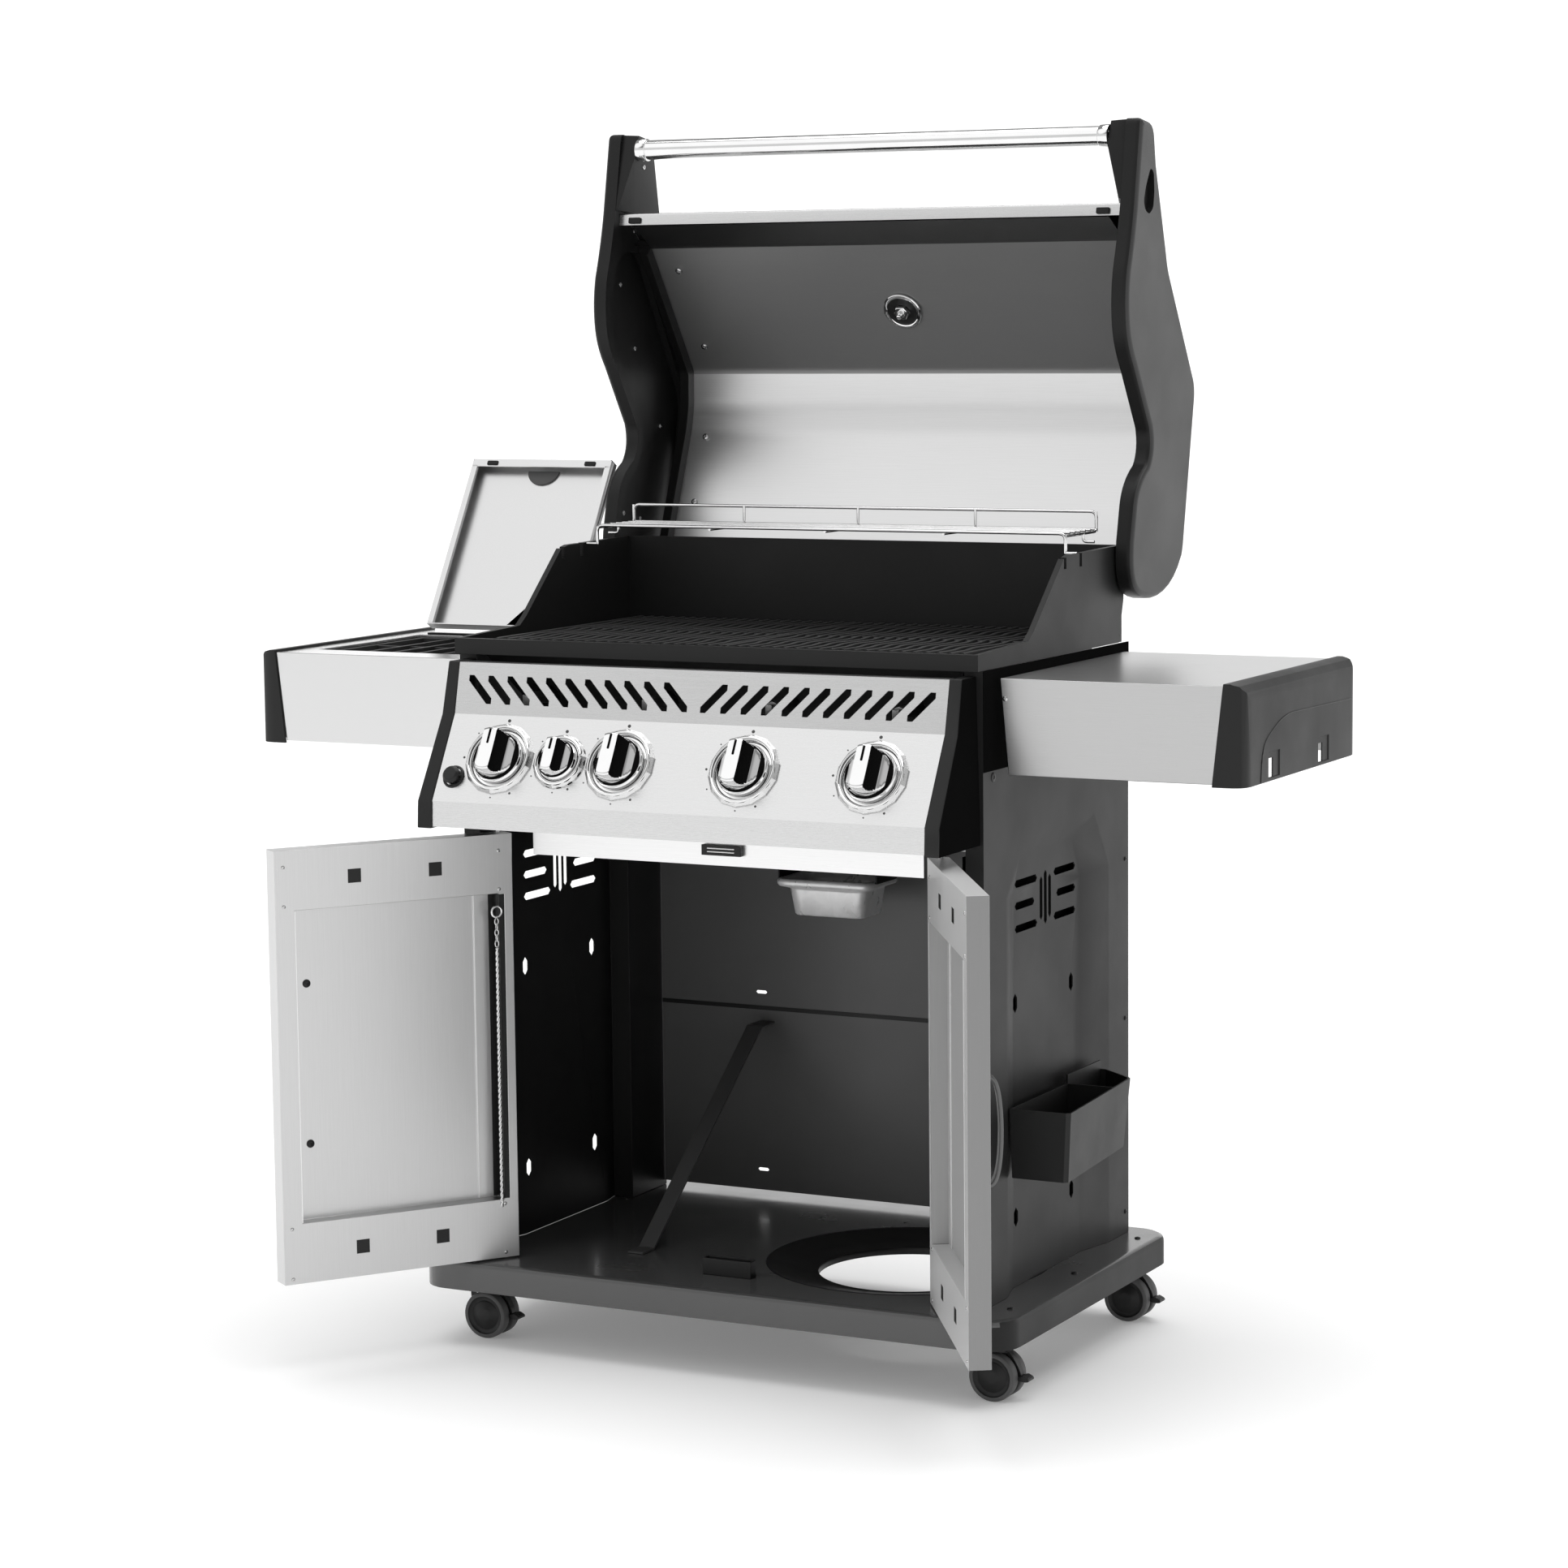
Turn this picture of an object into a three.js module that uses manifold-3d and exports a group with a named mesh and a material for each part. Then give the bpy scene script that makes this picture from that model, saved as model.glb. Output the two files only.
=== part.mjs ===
// Gas barbecue grill on a cart: four main burners, a side burner, a fold-down side shelf,
// a two-door cabinet and swivel casters. Millimetres, +Z up, front towards -Y, origin on the
// floor under the middle of the whole object. The lid, the side burner lid and both doors
// are modelled open, which is the rest pose.
import * as THREE from "three";
import { ConvexGeometry } from "three/addons/geometries/ConvexGeometry.js";
import { mergeVertices } from "three/addons/utils/BufferGeometryUtils.js";
import Module from "manifold-3d";

const wasm = await Module();
wasm.setup();

// ---------------------------------------------------------------- driving dimensions
const GAP = 0.3;                       // between pieces that touch
const SHEET = 2;                       // cabinet sheet metal

const FOOTPRINT_SHIFT_Y = 32.5;         // cart middle to the middle of the open object

const BASE = { halfX: 436.5, halfY: 285, bottom: 80, top: 119.5, corner: 45, edge: 8, skin: 3 };
const WELL = { x: 180, y: -26, rim: 190, hole: 123, depth: 15, sides: 28 };

const CABINET = { outer: 383, front: -226, back: 251, bottom: BASE.top + GAP, top: 936 };
const POST = { inner: 344, front: 150, top: 815 };
const EMBOSS = { depth: 14, front: -160, back: 184, top: 716, shoulder: 640, slope: 50, slopeBack: 68 };
const VENT = { rows: [649, 620, 590], end: 99, inner: [27, 36, 27], height: 10 };
const KEYHOLE = { y: [-99, 84], z: [212, 494], width: 13, height: 26 };

const BACK = { y: 245, seam: 393.5, bottom: 127, top: 812, slotX: -181, slotWidth: 18 };
const RAIL = { y: -203, bottom: 667, top: 718, half: 289, armBottom: 704, armHalf: 356 };

const PANEL = { half: 357.3, capHalf: 379, sheet: 1.8 };
const PANEL_PATH = [
  [-250, 927.4], [-267.3, 927.4], [-282.4, 861.2], [-343.1, 751.8], [-344.6, 720.2], [-310, 720.2],
];
const BURNER_X = [-271, -90.5, 90.5, 271];
const SIDE_BURNER_KNOB_X = -180.5;
const KNOB_DOWN = 62;                  // knob centre, down the sloped face from its upper bend
const BIG_KNOB = { bezel: 50, skirt: 36, grip: 29, height: 40 };
const SMALL_KNOB = { bezel: 38, skirt: 28, grip: 23, height: 34 };
const BUTTON = { x: -334, down: 90, radius: 12, travel: 5 };
const PANEL_VENT = { count: 11, pitch: 29.4, first: 322, tilt: Math.PI / 4, halfLength: 26, width: 10.5 };

const FIREBOX = { outer: 383, wall: 8, front: -240, back: 235, rim: 945, lip: 958, top: 1068 };
const TUB = { topX: 349, topY: 209, bottomX: 243, bottomY: 113, floor: 781, wall: 6 };
const GRATE = { half: 346, depth: 205, bottom: 945.3, top: 957, bar: 8, pitch: 24 };
const RACK = { half: 358, front: 100, back: 205, level: 1090, rail: 1114, wire: 4 };

const LID = { y: 222, z: 1040, open: 100, half: 385.5, liner: 364, sheet: 1.5 };
const CASTING = { inner: 386, outer: 409, arm: 361 };
const LID_HANDLE = { y: -569, z: -76, radius: 14, bore: 12.2 };
const GAUGE = { x: 5, y: -360, z: 60.4 };

const SHELF = { inner: 397, steelTop: 695, steelBottom: 681, outer: 724, front: -204, back: 205,
  bottom: 804.5, top: 926.5, sheet: 2, cutBottom: 408 };
const SHELF_HOOK = { y: [-103, 78], halfWidth: 20, bottom: 806, top: 838, slotHalf: 7, slotTop: 830 };
const BURNER_LID = { left: -656, right: -423, y: 130, z: 938, length: 270, depth: 16, open: 120.9 };
const BURNER_WELL = { left: -664, right: -415, front: -146, back: 118, depth: 46 };

const DOOR = { pinX: 327.5, pinY: -229.6, beyond: 12, width: 337, outer: -10.4, inner: 17.6,
  bottom: 122, top: 698, band: 80, freeRim: 27, hingeRim: 20, skin: 2 };
const LEFT_DOOR_OPEN = 125;
const RIGHT_DOOR_OPEN = 123;
const DOOR_HANDLE = { inset: 56, middle: 403, half: 70, reach: 20 };

const BIN = {
  inner: CABINET.outer + GAP, outer: 467, front: -150, back: 148, bottom: 274, top: 366, wall: 2.5, divider: 34,
};
const CASTER = { x: 378, yFront: -208, yBack: 240, trail: 13, radius: 32, width: 15, spread: 12 };

// ---------------------------------------------------------------- materials
function finish(color, roughness, metalness) {
  return new THREE.MeshStandardMaterial({ color, roughness, metalness });
}
const steel = () => finish(0xb9bbbd, 0.35, 1);
const chrome = () => finish(0xdedfe0, 0.08, 1);
const charcoal = () => finish(0x3c3d3f, 0.5, 0.3);
const blackPaint = () => finish(0x17181a, 0.45, 0.3);
const enamel = () => finish(0x101112, 0.6, 0.2);
const castIron = () => finish(0x1b1c1d, 0.7, 0.4);
const plastic = () => finish(0x343537, 0.55, 0);
const foil = () => finish(0xd5d6d8, 0.25, 1);

// ---------------------------------------------------------------- geometry helpers
const X = new THREE.Vector3(1, 0, 0);
const Y = new THREE.Vector3(0, 1, 0);
const Z = new THREE.Vector3(0, 0, 1);

function block(x0, x1, y0, y1, z0, z1) {
  const box = new THREE.BoxGeometry(Math.abs(x1 - x0), Math.abs(y1 - y0), Math.abs(z1 - z0));
  return box.translate((x0 + x1) / 2, (y0 + y1) / 2, (z0 + z1) / 2);
}

function outline(points) {
  return new THREE.Shape(points.map(([u, v]) => new THREE.Vector2(u, v)));
}

// A [y, z] shape swept from x0 to x1.
function alongX(shape, x0, x1, curveSegments = 4) {
  const depth = Math.abs(x1 - x0);
  const swept = new THREE.ExtrudeGeometry(shape, { depth, bevelEnabled: false, curveSegments });
  swept.applyMatrix4(new THREE.Matrix4().makeBasis(Y, Z, X));
  return swept.translate(Math.min(x0, x1), 0, 0);
}

// An [x, z] shape swept from y0 to y1.
function alongY(shape, y0, y1, curveSegments = 4) {
  const depth = Math.abs(y1 - y0);
  const swept = new THREE.ExtrudeGeometry(shape, { depth, bevelEnabled: false, curveSegments });
  swept.applyMatrix4(new THREE.Matrix4().makeBasis(X, Z, Y.clone().negate()));
  return swept.translate(0, Math.max(y0, y1), 0);
}

// An [x, y] shape swept from z0 to z1.
function alongZ(shape, z0, z1, curveSegments = 4) {
  const swept = new THREE.ExtrudeGeometry(shape, { depth: z1 - z0, bevelEnabled: false, curveSegments });
  return swept.translate(0, 0, z0);
}

function cylinderX(radius, x0, x1, y, z, sides = 16) {
  const rod = new THREE.CylinderGeometry(radius, radius, x1 - x0, sides);
  return rod.rotateZ(-Math.PI / 2).translate((x0 + x1) / 2, y, z);
}

function cylinderY(radius, y0, y1, x, z, sides = 12) {
  return new THREE.CylinderGeometry(radius, radius, y1 - y0, sides).translate(x, (y0 + y1) / 2, z);
}

function cylinderZ(radius, z0, z1, x, y, sides = 16, topRadius = radius) {
  const rod = new THREE.CylinderGeometry(topRadius, radius, z1 - z0, sides);
  return rod.rotateX(Math.PI / 2).translate(x, y, (z0 + z1) / 2);
}

// A slot with round ends as an [u, v] shape, its length turned by an angle from the u axis.
function slot(u, v, halfLength, radius, angle) {
  const shape = new THREE.Shape();
  const ends = [[1, angle - Math.PI / 2], [-1, angle + Math.PI / 2]];
  const points = [];
  for (const [sign, start] of ends) {
    for (let step = 0; step <= 2; step++) {
      const turn = start + (step / 2) * Math.PI;
      const cu = u + sign * (halfLength - radius) * Math.cos(angle);
      const cv = v + sign * (halfLength - radius) * Math.sin(angle);
      points.push(new THREE.Vector2(cu + radius * Math.cos(turn), cv + radius * Math.sin(turn)));
    }
  }
  return shape.setFromPoints(points);
}

function roundedRectangle(halfU, halfV, radius) {
  const shape = new THREE.Shape();
  shape.moveTo(halfU - radius, -halfV);
  shape.absarc(halfU - radius, -halfV + radius, radius, -Math.PI / 2, 0);
  shape.absarc(halfU - radius, halfV - radius, radius, 0, Math.PI / 2);
  shape.absarc(-halfU + radius, halfV - radius, radius, Math.PI / 2, Math.PI);
  shape.absarc(-halfU + radius, -halfV + radius, radius, Math.PI, 1.5 * Math.PI);
  return shape;
}

// The path moved sideways to its left, with mitred corners.
function offsetPath(path, distance) {
  const points = path.map(([u, v]) => new THREE.Vector2(u, v));
  const normals = points.slice(1).map((point, i) => {
    const along = point.clone().sub(points[i]).normalize();
    return new THREE.Vector2(-along.y, along.x);
  });
  return points.map((point, i) => {
    const before = normals[Math.max(i - 1, 0)];
    const after = normals[Math.min(i, normals.length - 1)];
    const mitre = before.clone().add(after);
    const moved = point.clone().addScaledVector(mitre, distance / (1 + before.dot(after)));
    return [moved.x, moved.y];
  });
}

// A bent sheet: the path is one face, and the thickness is laid on its left side.
function bentSheet(path, thickness) {
  return outline([...path, ...offsetPath(path, thickness).reverse()]);
}

function hull(points) {
  return new ConvexGeometry(points.map(([x, y, z]) => new THREE.Vector3(x, y, z)));
}

// The hull of two rectangles lying at two heights.
function taper(bottomZ, [bx0, bx1, by0, by1], topZ, [tx0, tx1, ty0, ty1]) {
  return hull([
    [bx0, by0, bottomZ], [bx1, by0, bottomZ], [bx1, by1, bottomZ], [bx0, by1, bottomZ],
    [tx0, ty0, topZ], [tx1, ty0, topZ], [tx1, ty1, topZ], [tx0, ty1, topZ],
  ]);
}

function toSolid(geometry) {
  const bare = geometry.clone();
  bare.deleteAttribute("normal");
  bare.deleteAttribute("uv");
  const merged = mergeVertices(bare, 1e-3);
  const vertProperties = new Float32Array(merged.attributes.position.array);
  const triVerts = new Uint32Array(merged.index.array);
  return new wasm.Manifold(new wasm.Mesh({ numProp: 3, vertProperties, triVerts }));
}

function toGeometry(solid) {
  const mesh = solid.getMesh();
  const geometry = new THREE.BufferGeometry();
  geometry.setAttribute("position", new THREE.BufferAttribute(mesh.vertProperties, 3));
  geometry.setIndex(new THREE.BufferAttribute(mesh.triVerts, 1));
  return geometry;
}

function join(...geometries) {
  return toGeometry(geometries.map(toSolid).reduce((whole, next) => whole.add(next)));
}

function cut(geometry, ...tools) {
  return toGeometry(tools.map(toSolid).reduce((rest, tool) => rest.subtract(tool), toSolid(geometry)));
}

function overlap(first, second) {
  return toGeometry(toSolid(first).intersect(toSolid(second)));
}

const grill = new THREE.Group();
grill.position.y = FOOTPRINT_SHIFT_Y;

function add(name, geometry, material, parent = grill) {
  const mesh = new THREE.Mesh(geometry, material);
  mesh.name = name;
  parent.add(mesh);
  return mesh;
}

function pivot(x, y, z, axis, degrees) {
  const group = new THREE.Group();
  group.position.set(x, y, z);
  group.setRotationFromAxisAngle(axis, THREE.MathUtils.degToRad(degrees));
  grill.add(group);
  return group;
}

// ---------------------------------------------------------------- cart
function casterSpots() {
  return {
    front_left: [-CASTER.x, CASTER.yFront],
    front_right: [CASTER.x, CASTER.yFront],
    rear_left: [-CASTER.x, CASTER.yBack],
    rear_right: [CASTER.x, CASTER.yBack],
  };
}

function baseShelf() {
  const core = roundedRectangle(BASE.halfX - BASE.edge, BASE.halfY - BASE.edge, BASE.corner - BASE.edge);
  const height = BASE.top - BASE.bottom;
  const slab = new THREE.ExtrudeGeometry(core, {
    depth: height, bevelThickness: BASE.edge, bevelSize: BASE.edge, bevelSegments: 2, curveSegments: 3,
  }).translate(0, 0, BASE.bottom - BASE.edge);
  const inside = roundedRectangle(BASE.halfX - BASE.skin, BASE.halfY - BASE.skin, BASE.corner - BASE.skin);
  const hollow = alongZ(inside, BASE.bottom - 1, BASE.top - BASE.edge, 2);
  const insideTop = roundedRectangle(BASE.halfX - BASE.edge, BASE.halfY - BASE.edge, BASE.corner - BASE.edge);
  const hollowTop = alongZ(insideTop, BASE.bottom - 1, BASE.top - BASE.skin, 2);
  const trim = block(-500, 500, -400, 400, 0, BASE.bottom);
  const shell = cut(slab, trim, hollow, hollowTop);
  const dishBottom = BASE.top - WELL.depth;
  const skin = BASE.skin;
  const cone = (radius, z0, z1, topRadius) => cylinderZ(radius, z0, z1, WELL.x, WELL.y, WELL.sides, topRadius);
  const dish = cone(WELL.hole + skin, dishBottom - skin, BASE.top - 1, WELL.rim + skin - 1);
  const slope = (WELL.rim - WELL.hole) / WELL.depth;
  const well = cone(WELL.hole, dishBottom, BASE.top + 1, WELL.rim + slope);
  const hole = cone(WELL.hole, BASE.bottom, BASE.top, WELL.hole);
  const bosses = Object.values(casterSpots()).map(([x, y]) => {
    return cylinderZ(14, BASE.bottom, BASE.top - 1, x, y, 8);
  });
  const pins = [-1, 1].map((side) => {
    return cylinderZ(4.2, BASE.bottom, BASE.top + 1, side * DOOR.pinX, DOOR.pinY, 10);
  });
  const drains = [[-38, 150], [82, 172]].map(([x, y]) => cylinderZ(5, BASE.bottom, BASE.top + 1, x, y, 8));
  return cut(join(shell, dish, ...bosses), well, hole, ...pins, ...drains);
}

// side is -1 on the left and 1 on the right.
function embossHull(side, inset) {
  const floor = CABINET.outer - EMBOSS.depth - inset;
  const face = CABINET.outer + 0.5 - inset;
  const ring = (x, front, back, top, shoulder, nip) => [
    [side * x, front, 60], [side * x, front, shoulder], [side * x, front + nip, top],
    [side * x, back - nip, top], [side * x, back, shoulder], [side * x, back, 60],
  ];
  return hull([
    ...ring(face, EMBOSS.front, EMBOSS.back, EMBOSS.top, EMBOSS.shoulder, 50),
    ...ring(
      floor, EMBOSS.front + EMBOSS.slope, EMBOSS.back - EMBOSS.slopeBack, EMBOSS.top - 30, EMBOSS.shoulder - 8, 28,
    ),
  ]);
}

function sidePanel(side) {
  const { outer, front, back, bottom, top } = CABINET;
  const wall = (xa, xb, y0, y1, z1 = top) => block(side * xa, side * xb, y0, y1, bottom, z1);
  const sheet = join(
    wall(outer - SHEET, outer, front, back),
    wall(outer - 25, outer, front, front + SHEET),
    wall(POST.inner, outer, back - SHEET, back, POST.top),
    wall(POST.inner, POST.inner + SHEET, POST.front, back, POST.top),
    wall(POST.inner, outer, POST.front, POST.front + SHEET, POST.top),
    overlap(embossHull(side, SHEET), wall(outer - 30, outer, front, back)),
  );
  const through = (shape) => alongX(shape, side * (outer - 30), side * (outer + 10));
  const louvres = VENT.rows.flatMap((z, row) => [-1, 1].map((end) => {
    const half = (VENT.end - VENT.inner[row]) / 2;
    return through(slot(end * (VENT.end - half), z, half, VENT.height / 2, 0));
  }));
  const roundel = [-14, 0, 14].map((y) => {
    return through(slot(y, VENT.rows[1], y === 0 ? 36 : 29, 4.5, Math.PI / 2));
  });
  const keyholes = KEYHOLE.y.flatMap((y) => KEYHOLE.z.map((z) => {
    return through(slot(y, z, KEYHOLE.height / 2, KEYHOLE.width / 2, Math.PI / 2));
  }));
  return cut(sheet, embossHull(side, 0), ...louvres, ...roundel, ...keyholes);
}

function backPanel(bottom, top, slotZ) {
  const half = POST.inner - GAP - 0.2;
  const sheet = block(-half, half, BACK.y, BACK.y + SHEET, bottom, top);
  return cut(sheet, alongY(slot(BACK.slotX, slotZ, BACK.slotWidth / 2, 2.4, 0), BACK.y - 5, BACK.y + 5));
}

function frontRail() {
  const { y, bottom, top, half, armBottom, armHalf } = RAIL;
  const rail = join(
    block(-half, half, y, y + SHEET, bottom, top),
    block(-armHalf, armHalf, y, y + SHEET, armBottom, top),
    block(-armHalf, armHalf, -244, y + SHEET, top - SHEET, top),
  );
  return cut(rail, ...[-1, 1].map((side) => cylinderZ(4.2, 700, 730, side * DOOR.pinX, DOOR.pinY, 10)));
}

// A flat bar that stops the gas cylinder sliding, from the back panel down to the base.
function cylinderBrace() {
  const foot = BASE.top + GAP;
  const path = [[-150, foot], [-118, foot], [206, 372], [BACK.y - GAP, 372]];
  return alongX(bentSheet(path, 3), -184, -160);
}

function drawer(outer, z0, z1, wall) {
  const [x0, x1, y0, y1] = outer;
  return cut(block(x0, x1, y0, y1, z0, z1), block(x0 + wall, x1 - wall, y0 + wall, y1 - wall, z0 + wall, z1 + 1));
}

function addCart() {
  add("base_shelf", baseShelf(), charcoal());
  add("side_panel_left", sidePanel(-1), charcoal());
  add("side_panel_right", sidePanel(1), charcoal());
  add("back_panel_lower", backPanel(BACK.bottom, BACK.seam - GAP / 2, 157), charcoal());
  add("back_panel_upper", backPanel(BACK.seam + GAP / 2, BACK.top, 416), charcoal());
  add("front_rail", frontRail(), steel());
  add("door_catch_upper", drawer([-29, 29, RAIL.y - 8, RAIL.y - GAP], 681, 695, 3), plastic());
  add("door_catch_lower", drawer([-36, 36, -210.5, -194], BASE.top + GAP, 142, 3), plastic());
  add("cylinder_brace", cylinderBrace(), charcoal());
}

// ---------------------------------------------------------------- casters
function casterFork() {
  const stem = cylinderZ(11, 66, BASE.bottom - GAP, 0, 0, 8);
  const half = CASTER.spread / 2 - 1;
  const profile = outline([
    [-13, 74], [-16, 50], [-8, 30], [14, 20], [34, 22], [50, 29], [50, 36], [40, 46], [30, 62], [13, 74],
  ]);
  const body = alongY(profile, -half, half);
  const pedal = taper(27, [47, 60, -8, 8], 36, [47, 54, -9, 9]);
  const cap = cylinderZ(17, 72, 76, 0, 0, 10);
  return cut(join(stem, cap, body, pedal), cylinderY(4.8, -20, 20, CASTER.trail, CASTER.radius, 8));
}

function casterWheels() {
  const inner = CASTER.spread / 2;
  const outer = inner + CASTER.width;
  const wheel = (side) => {
    const rings = [
      [0, inner], [CASTER.radius, inner], [CASTER.radius, outer - 4], [CASTER.radius - 4, outer], [0, outer],
    ];
    const profile = rings.map(([radius, along]) => new THREE.Vector2(radius, along));
    const lathe = new THREE.LatheGeometry(profile, 16);
    return side > 0 ? lathe : lathe.rotateX(Math.PI);
  };
  return join(wheel(1), wheel(-1), new THREE.CylinderGeometry(4, 4, 2 * inner + 2, 8));
}

function addCasters() {
  for (const [corner, [x, y]] of Object.entries(casterSpots())) {
    const swivel = pivot(x, y, 0, Z, 0);
    add(`caster_fork_${corner}`, casterFork(), blackPaint(), swivel);
    const axle = new THREE.Group();
    axle.position.set(CASTER.trail, 0, CASTER.radius);
    swivel.add(axle);
    add(`caster_wheels_${corner}`, casterWheels(), plastic(), axle);
  }
}

// ---------------------------------------------------------------- cooking box
function firebox() {
  const { outer, wall, front, back, rim, lip, top } = FIREBOX;
  const side = outline([
    [front, 937], [front, lip], [-84, 963], [-66, 975], [31, 1061], [52, 1065], [back - 12, top],
    [back, 1056], [back, 995], [218, 941], [218, 937],
  ]);
  const notches = [36, 88].map((y) => block(-400, 400, y - 4, y + 4, top - 20, top + 9));
  const walls = cut(
    join(alongX(side, -outer, -outer + wall), alongX(side, outer - wall, outer)),
    ...notches,
  );
  const lipBar = block(-outer, outer, front, front + wall, 937, lip);
  const backWall = block(-outer + 2, outer - 2, back - 10, back - 2, 937, top);
  const flange = block(-outer + 2, outer - 2, front + 2, back - 2, 937, rim);
  const around = (x, y, grow) => [-x - grow, x + grow, -y - grow, y + grow];
  const tubOuter = taper(
    TUB.floor - TUB.wall, around(TUB.bottomX, TUB.bottomY, TUB.wall), 940, around(TUB.topX, TUB.topY, TUB.wall),
  );
  const tubInner = taper(
    TUB.floor, around(TUB.bottomX, TUB.bottomY, 0), rim + 1, around(TUB.topX, TUB.topY, -8),
  );
  const ledge = block(-TUB.topX, TUB.topX, -TUB.topY, TUB.topY, rim - 1, rim + 1);
  const outlet = block(-150, 150, -60, 60, TUB.floor - 20, TUB.floor + 5);
  const burnerHoles = BURNER_X.map((x) => cylinderY(14, -230, -150, x, 880, 10));
  return cut(join(walls, lipBar, backWall, flange, tubOuter), tubInner, ledge, outlet, ...burnerHoles);
}

function burner() {
  const tube = [[0, -236], [9, -236], [9, -160], [14, -148], [14, 146], [10, 150], [0, 150]];
  return new THREE.LatheGeometry(tube.map(([radius, along]) => new THREE.Vector2(radius, along)), 10);
}

function cookingGrate(x0, x1) {
  const plate = block(x0, x1, -GRATE.depth, GRATE.depth, GRATE.bottom, GRATE.top);
  const gaps = [];
  const count = Math.floor((x1 - x0 - GRATE.bar) / GRATE.pitch);
  const pitch = (x1 - x0 - GRATE.bar) / count;
  for (let i = 0; i < count; i++) {
    const left = x0 + GRATE.bar + i * pitch;
    for (const [y0, y1] of [[-GRATE.depth + GRATE.bar, -5], [5, GRATE.depth - GRATE.bar]]) {
      gaps.push(block(left, left + pitch - GRATE.bar, y0, y1, GRATE.bottom - 1, GRATE.top + 1));
    }
  }
  return cut(plate, ...gaps);
}

function warmingRack() {
  const { half, front, back, level, rail, wire } = RACK;
  const w = wire / 2;
  const wireX = (y, z, x0 = -half, x1 = half) => block(x0, x1, y - w, y + w, z - w, z + w);
  const wireY = (x, y0, y1, z) => block(x - w, x + w, y0, y1, z - w, z + w);
  const wireZ = (x, y, z0, z1) => block(x - w, x + w, y - w, y + w, z0, z1);
  const inner = half - w;
  const parts = [wireX(back, rail)];
  for (let y = front; y <= back; y += (back - front) / 5) {
    parts.push(wireX(y, level));
  }
  for (const x of [-inner, -180, 0, 180, inner]) {
    parts.push(wireY(x, front - w, back + w, level - wire + 1), wireZ(x, back, level - w, rail + w));
  }
  for (const side of [-1, 1]) {
    const foot = side * (FIREBOX.outer - 9);
    parts.push(wireZ(side * inner, front, 1062, level + w), wireZ(side * inner, 160, 1075, level));
    parts.push(wireX(front, 1064, Math.min(side * inner, foot), Math.max(side * inner, foot)));
  }
  return join(...parts);
}

function greaseTray() {
  const pan = drawer([-170, 170, -150, 205], 728, 755, SHEET);
  const spout = join(pan, block(-40, 40, 90, 170, 706, 729));
  const strap = (side) => join(
    block(side * 74, side * 76, 98, 162, 606, 729),
    block(side * 68, side * 76, 98, 162, 606, 608),
  );
  return cut(join(spout, strap(-1), strap(1)), block(-34, 34, 96, 164, 700, 756));
}

function dripPan() {
  const body = cut(
    taper(556, [-50, 50, 96, 164], 612, [-64, 64, 84, 176]),
    taper(557.5, [-48.5, 48.5, 97.5, 162.5], 613, [-62.5, 62.5, 85.5, 174.5]),
  );
  const rim = cut(block(-73, 73, 76, 184, 609, 612), block(-63, 63, 85, 175, 600, 620));
  return join(body, rim);
}

function gasManifold() {
  const rail = cylinderX(11, -330, 320, -252, 776, 12);
  const valves = [...BURNER_X, SIDE_BURNER_KNOB_X].map((x) => block(x - 14, x + 14, -266, -238, 760, 800));
  const nozzles = BURNER_X.map((x) => block(x - 5, x + 5, -246, -238, 798, 886));
  return join(rail, ...valves, ...nozzles);
}

function addCookingBox() {
  add("firebox", firebox(), enamel());
  BURNER_X.forEach((x, i) => {
    add(`burner_${i + 1}`, burner(), steel()).position.set(x, 0, 880);
    const tent = bentSheet([[x - 38, 903], [x, 925], [x + 38, 903]], 1.5);
    add(`flame_plate_${i + 1}`, alongY(tent, -172, 172), steel());
  });
  add("cooking_grate_left", cookingGrate(-GRATE.half, -1.5), castIron());
  add("cooking_grate_right", cookingGrate(1.5, GRATE.half), castIron());
  add("warming_rack", warmingRack(), chrome());
  add("gas_manifold", gasManifold(), steel());
}

// ---------------------------------------------------------------- control panel
const BEND_TOP = new THREE.Vector2(...PANEL_PATH[2]);
const DOWN = new THREE.Vector2(...PANEL_PATH[3]).sub(BEND_TOP).normalize();
const FACE_OUT = new THREE.Vector3(0, DOWN.y, -DOWN.x);
const FACE_UP = new THREE.Vector3(0, -DOWN.x, -DOWN.y);

// Places a geometry built on +Z on the sloped face, at x and a distance down from the bend.
function onFace(geometry, x, down) {
  const spot = BEND_TOP.clone().addScaledVector(DOWN, down);
  const frame = new THREE.Matrix4().makeBasis(X, FACE_UP, FACE_OUT).setPosition(x, spot.x, spot.y);
  return geometry.applyMatrix4(frame);
}

function turned(profile, sides) {
  const lathe = new THREE.LatheGeometry(profile.map(([radius, height]) => new THREE.Vector2(radius, height)), sides);
  return lathe.rotateX(Math.PI / 2);
}

function knobSpots() {
  return [
    ["knob_burner_1", BURNER_X[0], BIG_KNOB],
    ["knob_side_burner", SIDE_BURNER_KNOB_X, SMALL_KNOB],
    ["knob_burner_2", BURNER_X[1], BIG_KNOB],
    ["knob_burner_3", BURNER_X[2], BIG_KNOB],
    ["knob_burner_4", BURNER_X[3], BIG_KNOB],
  ];
}

function bezel(size) {
  const r = size.bezel;
  return turned([[r - 9, -1], [r, -1], [r, 4], [r - 4, 9], [r - 9, 4], [r - 9, -1]], 14);
}

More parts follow.
